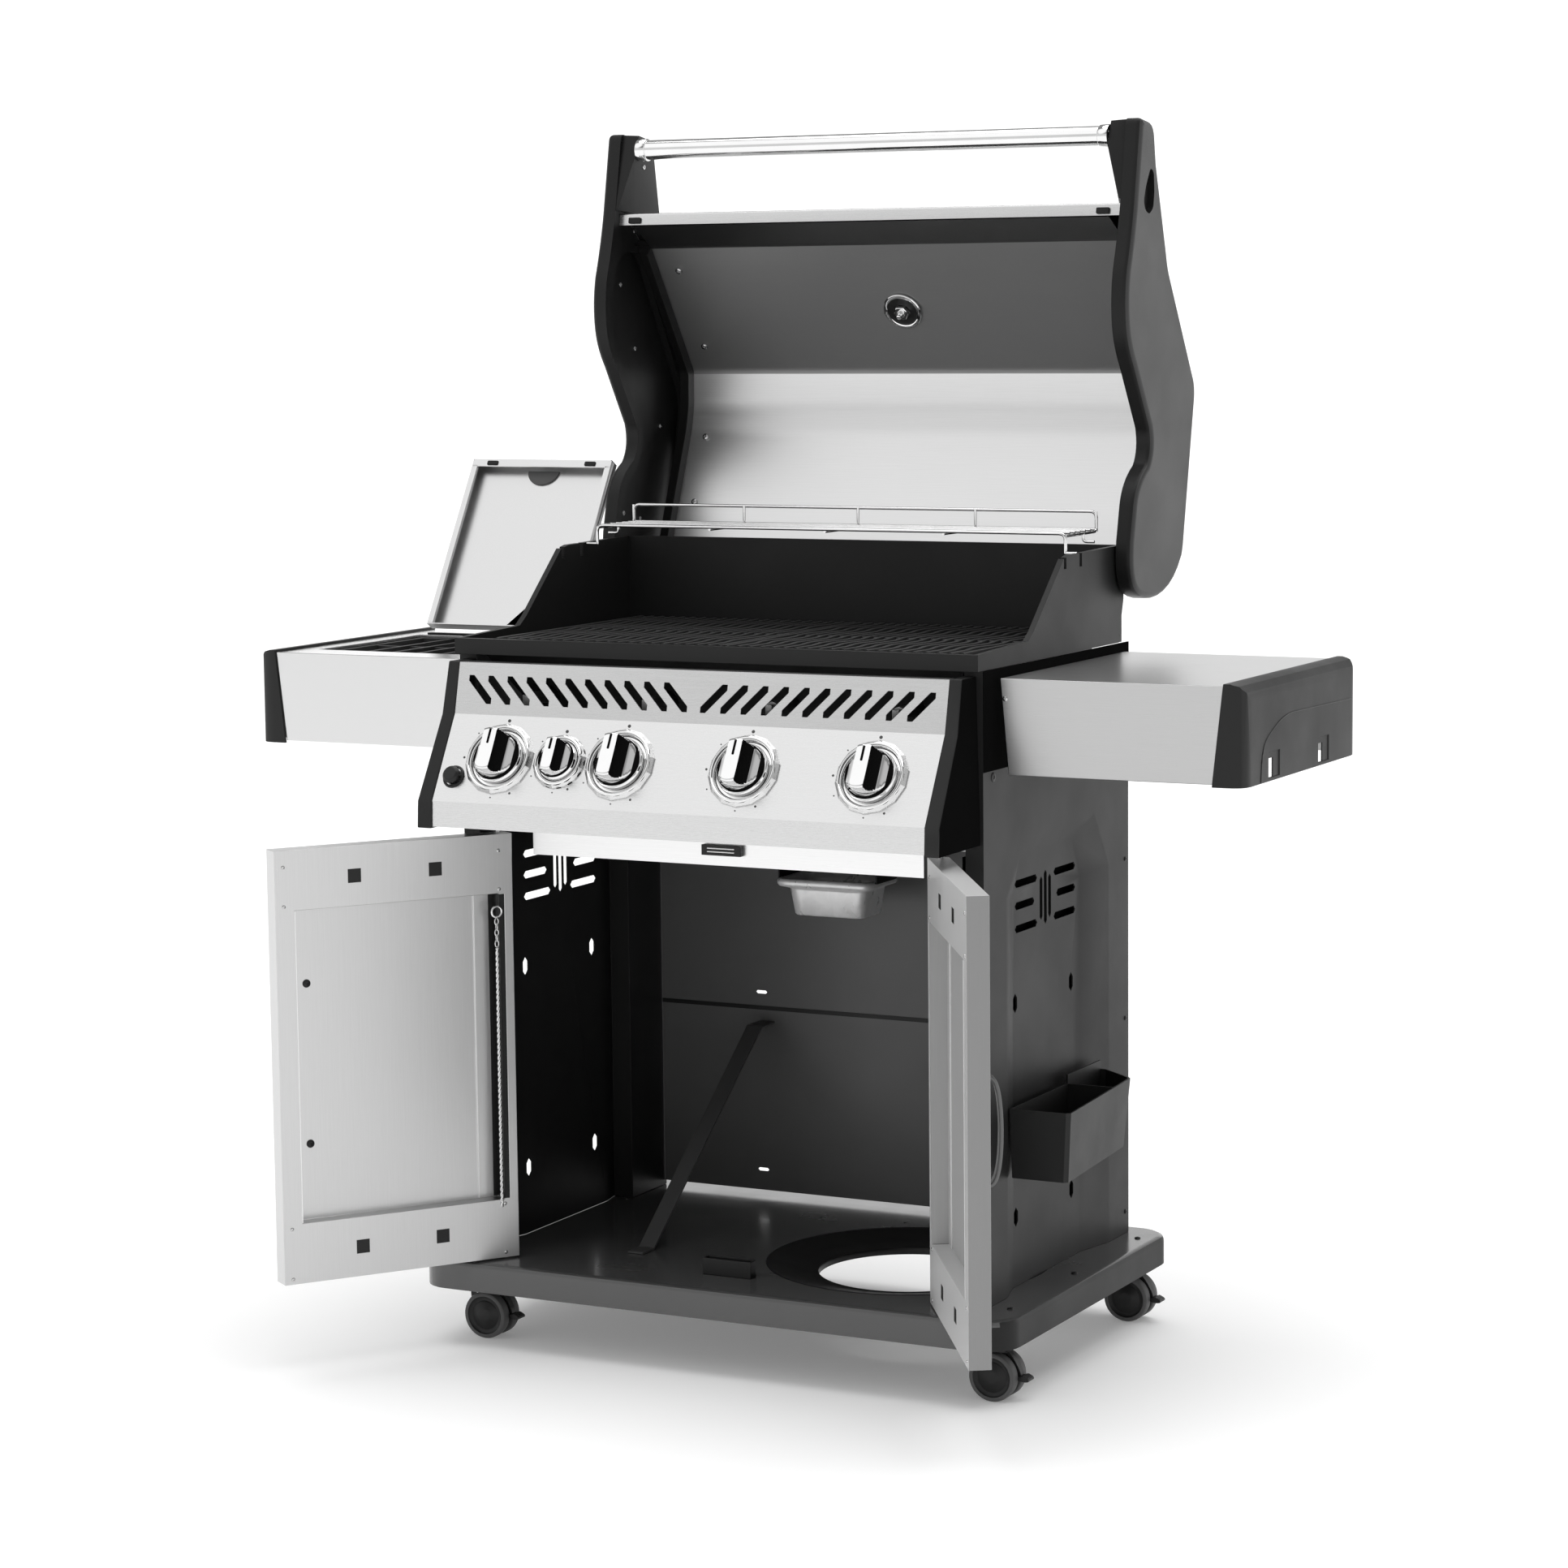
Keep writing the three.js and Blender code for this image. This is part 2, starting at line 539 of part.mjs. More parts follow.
function controlPanel() {
  const sheet = alongX(bentSheet(PANEL_PATH, -PANEL.sheet), -PANEL.half, PANEL.half);
  const rings = knobSpots().map(([, x, size]) => onFace(bezel(size), x, KNOB_DOWN));
  const holes = knobSpots().map(([, x]) => onFace(cylinderZ(6, -8, 12, 0, 0, 8), x, KNOB_DOWN));
  const buttonHole = onFace(cylinderZ(BUTTON.radius - 2, -8, 12, 0, 0, 12), BUTTON.x, BUTTON.down);
  const louvres = [];
  const middle = (PANEL_PATH[1][1] + PANEL_PATH[2][1]) / 2;
  const { count, pitch, first, tilt, halfLength, width } = PANEL_VENT;
  for (const side of [-1, 1]) {
    for (let i = 0; i < count; i++) {
      const angle = side > 0 ? tilt : Math.PI - tilt;
      const hole = slot(side * (first - i * pitch), middle, halfLength, width / 2, angle);
      louvres.push(alongY(hole, -290, -262));
    }
  }
  return cut(join(sheet, ...rings), ...holes, buttonHole, ...louvres);
}

function panelCap(side) {
  const back = CABINET.front - GAP;
  const profile = outline([[back, 930], [-269, 930], [-286, 861], [-347, 752], [-349, 716], [back, 716]]);
  const inside = outline([[-230, 926], [-264, 926], [-281, 862], [-342, 754], [-344, 720], [-230, 720]]);
  const x0 = PANEL.half + GAP;
  const shell = alongX(profile, side * x0, side * PANEL.capHalf);
  const slant = hull([
    [side * 373, -400, 1000], [side * 400, -400, 1000], [side * 400, -200, 1000], [side * 373, -200, 1000],
    [side * 380, -400, 700], [side * 400, -400, 700], [side * 400, -200, 700], [side * 380, -200, 700],
  ]);
  return cut(shell, slant, alongX(inside, side * (x0 - 1), side * (x0 + 10)));
}

function knob(size) {
  const { skirt, grip, height } = size;
  const base = turned([
    [0, 3], [skirt - 2, 3], [skirt, 6], [skirt - 2, 13], [grip, 16], [grip - 1, height - 5], [grip - 6, height],
    [0, height],
  ], 16);
  const scoop = (side) => {
    return block(side * (grip * 0.32), side * (skirt + 5), -skirt - 5, skirt + 5, height * 0.55, height + 5);
  };
  const stem = cylinderZ(4.2, -12, 4, 0, 0, 8);
  return join(cut(base, scoop(-1), scoop(1)), stem);
}

function ignitionButton() {
  const { radius, travel } = BUTTON;
  const low = PANEL.sheet + travel + GAP;
  return join(
    turned([[0, low], [radius, low], [radius, low + 4], [radius - 3, low + 7], [0, low + 7]], 16),
    cylinderZ(radius - 4, -8, low + 1, 0, 0, 12),
  );
}

function addControlPanel() {
  add("control_panel", controlPanel(), steel());
  add("panel_cap_left", panelCap(-1), plastic());
  add("panel_cap_right", panelCap(1), plastic());
  for (const [name, x, size] of knobSpots()) {
    add(name, onFace(knob(size), x, KNOB_DOWN), chrome());
  }
  add("ignition_button", onFace(ignitionButton(), BUTTON.x, BUTTON.down), plastic());
}

// ---------------------------------------------------------------- side shelves
function shelfSteel(side) {
  const { inner, steelTop, steelBottom, front, back, bottom, top, sheet, cutBottom } = SHELF;
  const face = (x0, x1, x2, x3) => {
    return outline([[side * x0, top], [side * x1, top], [side * x2, bottom], [side * x3, bottom]]);
  };
  const tray = alongY(face(inner, steelTop, steelBottom, cutBottom), front, back);
  const hollow = block(0, side * 900, front + sheet, back - sheet, bottom - 1, top - sheet);
  return cut(tray, hollow);
}

// The cap's outline from above, drawn in by inset, with round outer corners.
function capPlan(side, inset) {
  const { outer, front, back } = SHELF;
  const round = 24;
  const x = outer - inset;
  const y0 = front - 3 + inset;
  const y1 = back + 3 - inset;
  const plan = new THREE.Shape();
  plan.moveTo(side * 600, y0);
  plan.lineTo(side * (x - round), y0);
  plan.quadraticCurveTo(side * x, y0, side * x, y0 + round);
  plan.lineTo(side * x, y1 - round);
  plan.quadraticCurveTo(side * x, y1, side * (x - round), y1);
  plan.lineTo(side * 600, y1);
  return plan;
}

function shelfCap(side) {
  const { steelTop, steelBottom, outer, bottom, top } = SHELF;
  const skew = (steelTop - steelBottom) / (top - bottom);
  const wall = 3.5;
  const shell = alongZ(capPlan(side, 0), bottom - 3, top + 3, 4);
  const gap = GAP + 0.1;
  const at = (z) => steelTop + gap - skew * (top - z);
  const keepOut = hull([-1, 1].flatMap((end) => [
    [side * 560, end * 300, 780], [side * at(780), end * 300, 780],
    [side * 560, end * 300, 960], [side * at(960), end * 300, 960],
  ]));
  const pocket = alongZ(capPlan(side, wall), bottom - 5, top - 20, 4);
  const crown = alongY(outline([
    [side * (outer - 20), top + 3], [side * (outer - 9), top], [side * (outer - 2), top - 8],
    [side * outer, top - 19], [side * (outer + 9), top - 19], [side * (outer + 9), top + 9],
    [side * (outer - 20), top + 9],
  ]), -400, 400);
  const { y, halfWidth, slotHalf, slotTop } = SHELF_HOOK;
  const hook = (at, half, x, high) => {
    return block(side * (outer - x), side * (outer + 4), at - half, at + half, SHELF_HOOK.bottom, high);
  };
  const hooks = y.flatMap((spot) => [
    hook(spot, halfWidth, 1.6, SHELF_HOOK.top), hook(spot - 8, slotHalf, 8, slotTop),
  ]);
  return cut(shell, keepOut, pocket, crown, ...hooks);
}

function leftShelf() {
  const { left, right, front, back, depth } = BURNER_WELL;
  const tub = drawer([left - SHEET, right + SHEET, front - SHEET, back + SHEET], SHELF.top - depth, SHELF.top, SHEET);
  const opening = block(left, right, front, back, SHELF.top - depth + SHEET, SHELF.top + 1);
  const gasHole = cylinderZ(12, SHELF.top - depth - 5, SHELF.top - depth + 5, (left + right) / 2, -14, 10);
  return cut(join(shelfSteel(-1), tub), opening, gasHole);
}

function sideBurner() {
  const x = (BURNER_WELL.left + BURNER_WELL.right) / 2;
  const floor = SHELF.top - BURNER_WELL.depth + SHEET + GAP;
  return join(
    turned([[0, floor], [48, floor], [48, floor + 12], [36, floor + 20], [0, floor + 22]], 24).translate(x, -14, 0),
    cylinderZ(9, floor - 34, floor + 1, x, -14, 10),
  );
}

// Bars rest across a lower ring, and a lower bar ties them in the middle.
function sideBurnerGrate() {
  const { left, right, front, back, depth } = BURNER_WELL;
  const x = (left + right) / 2;
  const y = (front + back) / 2;
  const floor = SHELF.top - depth + SHEET + GAP;
  const top = SHELF.top - 3;
  const ring = cut(
    block(left + 5, right - 5, front + 5, back - 5, top - 8, top - 1),
    block(left + 13, right - 13, front + 13, back - 13, top - 10, top + 3),
  );
  const bars = [-60, -20, 20, 60].map((dx) => {
    return block(x + dx - 3, x + dx + 3, front + 6, back - 6, top - 7, top);
  });
  const tie = block(left + 7, right - 7, y - 3, y + 3, top - 6, top - 2);
  const feet = [left + 6, right - 12].flatMap((footX) => [front + 7, back - 13].map(
    (footY) => block(footX, footX + 5, footY, footY + 5, floor, top - 4),
  ));
  return join(ring, ...bars, tie, ...feet);
}

// Closed, the lid lies in front of its hinge, along -Y from its own pivot.
function sideBurnerLid() {
  const { left, right, length, depth } = BURNER_LID;
  const half = (right - left) / 2;
  const pan = cut(
    block(-half, half, -length, 0, -depth / 2, depth / 2),
    block(-half + 1.5, half - 1.5, -length + 1.5, -1.5, -depth, depth / 2 - 1.5),
  );
  const grip = cylinderZ(26, 0, depth / 2 - 1, 0, -length + 1, 16);
  const lipCut = block(-60, 60, -length - 40, -length + 1, -20, 20);
  return join(pan, cut(grip, lipCut));
}

function addShelves() {
  add("left_shelf", leftShelf(), steel());
  add("left_shelf_cap", shelfCap(-1), plastic());
  add("side_burner", sideBurner(), castIron());
  add("side_burner_grate", sideBurnerGrate(), castIron());
  const { left, right, y, z, open } = BURNER_LID;
  const lid = pivot((left + right) / 2, y, z, X, -open);
  add("side_burner_lid", sideBurnerLid(), steel(), lid);
  add("right_shelf", shelfSteel(1), steel());
  add("right_shelf_cap", shelfCap(1), plastic());
}

// ---------------------------------------------------------------- lid, built closed about its pivot
const LINER_PATH = [
  [-461, -72], [-441, -20], [-286, 132], [-235, 140], [-197, 138], [-74, 112], [-10, 100], [16, 66], [19, 42],
];
const SKIN_PATH = [
  [-462, -76], [-479, -76], [-479, -62], [-454, -13], [-298, 142], [-236, 154], [-192, 153], [-62, 132],
  [4, 120], [28, 78], [30, 40],
];

function castingOutline() {
  const shape = new THREE.Shape();
  shape.moveTo(-591, -82);
  shape.quadraticCurveTo(-590, -88, -580, -88);
  shape.lineTo(-476, -89);
  shape.quadraticCurveTo(-430, -91, -385, -99);
  shape.quadraticCurveTo(-345, -102, -310, -89);
  shape.quadraticCurveTo(-285, -80, -262, -54);
  shape.lineTo(-190, 14);
  shape.quadraticCurveTo(-162, 30, -138, 14);
  shape.quadraticCurveTo(-112, -20, -80, -23);
  shape.lineTo(-30, -26);
  shape.bezierCurveTo(20, -24, 36, -6, 38, 25);
  shape.bezierCurveTo(42, 82, 18, 136, -30, 161);
  shape.quadraticCurveTo(-36, 164, -50, 165);
  shape.lineTo(-250, 171);
  shape.quadraticCurveTo(-268, 171, -280, 162);
  shape.lineTo(-405, 49);
  shape.quadraticCurveTo(-414, 41, -430, 34);
  shape.lineTo(-540, -23);
  shape.lineTo(-575, -35);
  shape.quadraticCurveTo(-592, -41, -592, -55);
  return shape;
}

// The same outline drawn in towards a middle point, for the pocket in the inner face.
function pocketOutline() {
  return outline([
    [-420, -72], [-330, -82], [-300, -68], [-178, 42], [-132, 30], [-94, -7], [-20, -11], [22, 10],
    [22, 84], [-44, 146], [-246, 154], [-398, 26], [-440, -12],
  ]);
}

function casting(side) {
  const { inner, outer, arm } = CASTING;
  const plate = alongX(castingOutline(), side * inner, side * outer, 3);
  const pocket = alongX(pocketOutline(), side * (inner - 1), side * (outer - 5));
  const armPoints = [
    [arm, -589, -40], [arm, -589, -80], [arm, -556, -88], [arm, -556, -30], [364, -482, 3], [372, -482, -60],
    [383, -482, -88], [inner + 1, -590, -44], [inner + 1, -590, -82], [inner + 1, -482, -88.5],
    [inner + 1, -482, 5],
  ];
  return join(cut(plate, pocket), hull(armPoints.map(([x, y, z]) => [side * x, y, z])));
}

function alongLiner(geometry) {
  const slope = Math.atan2(LINER_PATH[2][1] - LINER_PATH[1][1], LINER_PATH[2][0] - LINER_PATH[1][0]);
  return geometry.rotateX(slope).translate(GAUGE.x, GAUGE.y, GAUGE.z);
}

function lidSkin() {
  const sheet = alongX(bentSheet(SKIN_PATH, -LID.sheet), -LID.half, LID.half);
  return cut(sheet, alongLiner(cylinderZ(6, -30, 60, 0, 0, 12)));
}

function lidLiner() {
  const half = LID.liner;
  const sheet = alongX(bentSheet(LINER_PATH, LID.sheet), -half, half);
  const wallOutline = outline([
    ...offsetPath(LINER_PATH, LID.sheet / 2), [0, 39], [-162, 36], [-194, 30], [-300, -66], [-306, -70],
  ]);
  const walls = [-1, 1].map((side) => alongX(wallOutline, side * (half - 2), side * half));
  return cut(join(sheet, ...walls), alongLiner(cylinderZ(6, -30, 60, 0, 0, 12)));
}

function thermometer() {
  return alongLiner(join(
    turned([[0, 17], [38, 17], [40, 19], [40, 24], [36, 28], [0, 28]], 20),
    cylinderZ(4.5, -10, 18, 0, 0, 10),
    cylinderZ(11, -9, -2, 0, 0, 6),
  ));
}

function lidHandle() {
  const half = CASTING.arm - GAP;
  const { radius, bore } = LID_HANDLE;
  const wall = [[bore, -half], [radius, -half], [radius, half], [bore, half], [bore, -half]];
  const tube = new THREE.LatheGeometry(wall.map(([r, along]) => new THREE.Vector2(r, along)), 20);
  return tube.rotateZ(-Math.PI / 2);
}

function addLid() {
  const lid = pivot(0, LID.y, LID.z, X, -LID.open);
  add("lid_skin", lidSkin(), steel(), lid);
  add("lid_liner", lidLiner(), steel(), lid);
  add("lid_casting_left", casting(-1), charcoal(), lid);
  add("lid_casting_right", casting(1), charcoal(), lid);
  add("lid_handle", lidHandle(), chrome(), lid).position.set(0, LID_HANDLE.y, LID_HANDLE.z);
  add("lid_thermometer", thermometer(), chrome(), lid);
}

// ---------------------------------------------------------------- doors, built closed about the hinge pin
// side is -1 for the left door and 1 for the right one; the leaf runs from the pin to the middle.
function doorLeaf(side) {
  const { beyond, width, outer, inner, bottom, top, band, freeRim, hingeRim, skin } = DOOR;
  const hingeEdge = side * beyond;
  const freeEdge = side * (beyond - width);
  const between = (a, b, z0, z1, y0 = outer + skin, y1 = inner + 1) => {
    return block(Math.min(a, b), Math.max(a, b), y0, y1, z0, z1);
  };
  const leaf = between(hingeEdge, freeEdge, bottom, top, outer, inner);
  const recess = between(
    hingeEdge - side * hingeRim, freeEdge + side * freeRim, bottom + band, top - band, outer + skin + 4,
  );
  const bandHollow = (z0, z1) => {
    return between(hingeEdge - side * skin, freeEdge + side * skin, z0, z1, outer + skin, inner - skin);
  };
  const hollows = [bandHollow(bottom + skin, bottom + band - skin), bandHollow(top - band + skin, top - skin)];
  const windows = [0.33, 0.67].flatMap((share) => [bottom + band / 2, top - band / 2].map((z) => {
    const x = hingeEdge - side * share * width;
    return block(x - 8.5, x + 8.5, 0, inner + 1, z - 8.5, z + 8.5);
  }));
  const pins = [cylinderZ(3.2, bottom - 5, bottom + 5, 0, 0, 10), cylinderZ(3.2, top - 5, top + 20, 0, 0, 10)];
  const knuckle = (z0, z1) => cylinderZ(7, z0, z1, 0, 0, 12);
  const shell = cut(leaf, recess, ...hollows, ...windows);
  return join(shell, knuckle(bottom, bottom + 8), knuckle(top - 8, top), ...pins);
}

function doorHandle(side) {
  const { inset, middle, half, reach } = DOOR_HANDLE;
  const x = side * (DOOR.beyond - DOOR.width + inset);
  const face = DOOR.outer - GAP;
  const arch = [[-half, 0], [-half + 7, -8], [-half + 22, 3 - reach], [0, -reach], [half - 22, 3 - reach],
    [half - 7, -8], [half, 0]];
  const bow = arch.map(([along, out]) => [face + out, middle + along]);
  const back = offsetPath(bow, -5).map(([y, z]) => [Math.min(y, face), z]);
  return alongX(outline([...bow, ...back.reverse()]), x - 8, x + 8);
}

// A hanging rod with a ring, kept in the channel beside the hinge of the left door.
function lightingRod() {
  const ring = new THREE.TorusGeometry(7, 1.6, 5, 10).rotateX(Math.PI / 2);
  return join(cylinderZ(2.2, 190, 588, 8, 22.5, 6), ring.translate(8, 22.5, 594));
}

function addDoors() {
  const left = pivot(-DOOR.pinX, DOOR.pinY, 0, Z, -LEFT_DOOR_OPEN);
  add("door_left", doorLeaf(-1), steel(), left);
  add("door_handle_left", doorHandle(-1), chrome(), left);
  add("lighting_rod", lightingRod(), steel(), left);
  const right = pivot(DOOR.pinX, DOOR.pinY, 0, Z, RIGHT_DOOR_OPEN);
  add("door_right", doorLeaf(1), steel(), right);
  add("door_handle_right", doorHandle(1), chrome(), right);
}

// ---------------------------------------------------------------- hanging and sliding pieces
function condimentBin() {
  const { inner, outer, front, back, bottom, top, wall, divider } = BIN;
  const plan = (inset, narrow) => {
    const x0 = inner + inset;
    const x1 = outer - inset - narrow;
    const y0 = front + inset + narrow;
    const y1 = back - inset - narrow;
    return [[x0, y0], [x1 - 5, y0], [x1, y0 + 5], [x1 - 20, y1 - 46], [x1 - 26, y1 - 38], [x0 + 8, y1], [x0, y1]];
  };
  const tub = (inset, z0, z1) => hull([
    ...plan(inset, 7).map(([x, y]) => [x, y, z0]),
    ...plan(inset, 0).map(([x, y]) => [x, y, z1]),
  ]);
  const shell = cut(tub(0, bottom, top), tub(wall, bottom + wall, top + 0.01));
  const partition = block(inner + 1, outer - 6, divider, divider + wall, bottom + 1, top);
  const backRest = block(inner, inner + wall, divider, back - 1, top - 20, top + 12);
  return join(shell, overlap(partition, tub(0.5, bottom, top)), backRest);
}

function addLoosePieces() {
  add("condiment_bin", condimentBin(), plastic());
  add("grease_tray", greaseTray(), enamel());
  add("drip_pan", dripPan(), foil());
}

addCart();
addCasters();
addCookingBox();
addControlPanel();
addShelves();
addLid();
addDoors();
addLoosePieces();

export default grill;
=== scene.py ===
"""Looks for the gas barbecue grill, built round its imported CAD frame.

Shapes are written in millimetres in the CAD frame and scaled to metres when a mesh is made.
"""

import math

import bmesh
import bpy
from mathutils import Matrix, Vector, noise


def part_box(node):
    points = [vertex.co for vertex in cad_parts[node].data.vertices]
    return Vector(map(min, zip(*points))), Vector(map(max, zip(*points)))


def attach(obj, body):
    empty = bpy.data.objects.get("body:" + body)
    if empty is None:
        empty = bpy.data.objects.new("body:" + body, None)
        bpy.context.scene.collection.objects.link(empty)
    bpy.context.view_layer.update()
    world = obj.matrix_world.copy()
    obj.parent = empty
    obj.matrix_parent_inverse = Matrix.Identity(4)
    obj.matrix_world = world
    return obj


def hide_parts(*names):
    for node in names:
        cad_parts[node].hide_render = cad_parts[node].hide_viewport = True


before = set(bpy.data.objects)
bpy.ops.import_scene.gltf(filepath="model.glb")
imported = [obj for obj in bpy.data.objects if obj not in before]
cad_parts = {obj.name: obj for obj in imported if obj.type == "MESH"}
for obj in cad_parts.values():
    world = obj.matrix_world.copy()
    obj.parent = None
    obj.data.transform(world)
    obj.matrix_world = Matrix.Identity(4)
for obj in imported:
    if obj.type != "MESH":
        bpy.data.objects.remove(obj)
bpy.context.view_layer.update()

MM = 0.001
SCENE = bpy.context.scene


# ---------------- camera
# Turns in radians, the lens in millimetres over a 36 mm sensor.
CAMERA_AT = Vector((2455.4, -4759.0, 1401.4)) * MM
YAW, PITCH, ROLL = 0.476, 0.12, -0.011
LENS = 92.27


def make_camera():
    look = Vector((-math.sin(YAW) * math.cos(PITCH), math.cos(YAW) * math.cos(PITCH), -math.sin(PITCH)))
    right = Vector((math.cos(YAW), math.sin(YAW), 0))
    up = right.cross(look)
    rolled_right = right * math.cos(ROLL) + up * math.sin(ROLL)
    rolled_up = up * math.cos(ROLL) - right * math.sin(ROLL)
    data = bpy.data.cameras.new("camera")
    data.lens = LENS
    data.sensor_width = 36
    data.clip_end = 200
    camera = bpy.data.objects.new("camera", data)
    turn = Matrix((rolled_right, rolled_up, -look)).transposed().to_4x4()
    camera.matrix_world = Matrix.Translation(CAMERA_AT) @ turn
    SCENE.collection.objects.link(camera)
    SCENE.camera = camera


make_camera()


# ---------------- materials
MATERIAL = {}
# The middle part of a noise's values, which is stretched over the whole range of a shade.
NOISE_SPAN = (0.3, 0.7)


def add_node(tree, kind, sockets=None, **settings):
    """A new node; each of its sockets takes a value, or a link from another node's output."""
    node = tree.nodes.new(kind)
    for key, value in settings.items():
        setattr(node, key, value)
    for key, value in (sockets or {}).items():
        if isinstance(value, bpy.types.NodeSocket):
            tree.links.new(value, node.inputs[key])
        else:
            node.inputs[key].default_value = value
    return node


def ranged(tree, value, start, end, low, high, kind="LINEAR"):
    """A number that goes from low to high while the value goes from start to end."""
    sockets = {"Value": value, "From Min": start, "From Max": end, "To Min": low, "To Max": high}
    return add_node(tree, "ShaderNodeMapRange", sockets, interpolation_type=kind).outputs["Result"]


class Shader:
    """A material with one Principled shader, and short calls for the nodes that feed it."""

    def __init__(self, name, **sockets):
        self.material = MATERIAL[name] = bpy.data.materials.new(name)
        self.material.use_nodes = True
        self.tree = self.material.node_tree
        self.tree.nodes.clear()
        sockets = {socket.replace("_", " "): value for socket, value in sockets.items()}
        self.bsdf = add_node(self.tree, "ShaderNodeBsdfPrincipled", sockets)
        add_node(self.tree, "ShaderNodeOutputMaterial", {"Surface": self.bsdf.outputs["BSDF"]})

    def feed(self, socket, output):
        self.tree.links.new(output, self.bsdf.inputs[socket])

    def noise(self, scale, detail=3.0, roughness=0.55, distortion=0.0):
        """Noise over object coordinates; scale is one number, or one for each axis."""
        coordinates = add_node(self.tree, "ShaderNodeTexCoord")
        stretch = scale if isinstance(scale, tuple) else (scale,) * 3
        mapping = add_node(self.tree, "ShaderNodeMapping",
                           {"Vector": coordinates.outputs["Object"], "Scale": stretch})
        sockets = {"Vector": mapping.outputs["Vector"], "Scale": 1.0, "Detail": detail,
                   "Roughness": roughness, "Distortion": distortion}
        return add_node(self.tree, "ShaderNodeTexNoise", sockets).outputs["Fac"]

    def shade(self, value, dark, light):
        """A grey between two levels, by a noise value."""
        ramp = add_node(self.tree, "ShaderNodeValToRGB", {"Fac": value})
        for stop, position, level in zip(ramp.color_ramp.elements, NOISE_SPAN, (dark, light)):
            stop.position = position
            stop.color = (level, level, level, 1)
        self.feed("Base Color", ramp.outputs["Color"])

    def roughness(self, value, low, high):
        self.feed("Roughness", ranged(self.tree, value, *NOISE_SPAN, low, high))

    def bump(self, value, strength, distance):
        sockets = {"Height": value, "Strength": strength, "Distance": distance}
        self.feed("Normal", add_node(self.tree, "ShaderNodeBump", sockets).outputs["Normal"])


# Noise scales per metre for brush lines along each axis.
ACROSS, ALONG = 1300.0, 14.0
ALONG_X, ALONG_Y, ALONG_Z = (ALONG, ACROSS, ACROSS), (ACROSS, ALONG, ACROSS), (ACROSS, ACROSS, ALONG)


def brushed(name, level, rough=0.27, grain=ALONG_X, strength=0.10, metallic=1.0):
    steel = Shader(name, Metallic=metallic)
    streak = steel.noise(grain, roughness=0.6)
    steel.shade(streak, level * 0.97, level * 1.03)
    steel.roughness(streak, rough - 0.03, rough + 0.04)
    steel.bump(streak, strength, 0.0002)


def polished(name, level=0.80, rough=0.05):
    chrome = Shader(name, Metallic=1.0)
    haze = chrome.noise(22.0, detail=4.0)
    chrome.shade(haze, level * 0.96, level)
    chrome.roughness(haze, rough, rough + 0.05)


def painted(name, level, rough=0.42, peel=900.0, depth=0.10, specular=0.5, coat=0.0):
    paint = Shader(name, Specular_IOR_Level=specular, Coat_Weight=coat, Coat_Roughness=0.12)
    cloud = paint.noise(9.0, detail=5.0)
    paint.shade(cloud, level * 0.97, level * 1.04)
    paint.roughness(cloud, rough - 0.05, rough + 0.06)
    paint.bump(paint.noise(peel, detail=2.0), depth, 0.0004)


def cast_iron(name, level, rough, grain, depth):
    iron = Shader(name, Metallic=0.35, Specular_IOR_Level=0.45)
    pit = iron.noise(grain, detail=5.0, roughness=0.7)
    iron.shade(pit, level * 0.6, level * 1.4)
    iron.roughness(pit, rough - 0.08, rough + 0.1)
    iron.bump(pit, depth, 0.0008)


def crinkled(name):
    foil = Shader(name, Metallic=0.35)
    crease = foil.noise(46.0, detail=2.0, distortion=0.8)
    foil.shade(crease, 0.80, 0.92)
    foil.roughness(crease, 0.26, 0.36)
    foil.bump(crease, 0.05, 0.0010)


brushed("steel", 0.66)
brushed("steel_liner", 0.74, 0.36, strength=0.03)
# Painted shade: darker copies of the liner's steel, for its slanted panel and its front return.
brushed("steel_slant_painted_shade", 0.34, 0.50, strength=0.03)
brushed("steel_return_painted_shade", 0.12, 0.40)
# Painted shade: a darker copy of the steel for the lid's outer sheet, whose hem keeps the brighter steel.
brushed("steel_lid_painted_shade", 0.46, 0.30)
brushed("steel_left_door", 0.60, 0.32, ALONG_Z)
brushed("steel_right_door", 0.62, 0.42, ALONG_Z, metallic=0.25)
# Painted light: a lighter, non-metallic steel over the right door's recess and channel.
brushed("steel_recess_painted_light", 0.40, 0.50, ALONG_Z, metallic=0.0)
# Painted shade: a darker steel for the right door's free edge.
brushed("steel_free_edge_painted_shade", 0.26, 0.42, ALONG_Z)
brushed("steel_rail", 0.84, 0.30)
brushed("steel_left_shelf", 0.64, 0.20)
brushed("steel_right_shelf", 0.50, 0.30)
brushed("steel_cover", 0.66, 0.32, ALONG_Z)
brushed("steel_handle", 0.12, 0.34, ALONG_Z, strength=0.03)
brushed("burner_steel", 0.42, 0.36, ALONG_Y)
polished("chrome")
polished("wire", 0.74, 0.14)
polished("screw", 0.55, 0.22)
# Painted highlight: bright lines along the door recesses' edges.
polished("edge", 0.92, 0.45)
painted("charcoal", 0.017, specular=0.18)
# Painted light: a lighter copy of the charcoal paint for the back panels.
painted("charcoal_back_painted_light", 0.10, 0.34)
painted("casting", 0.030, peel=700.0, depth=0.16, specular=0.38)
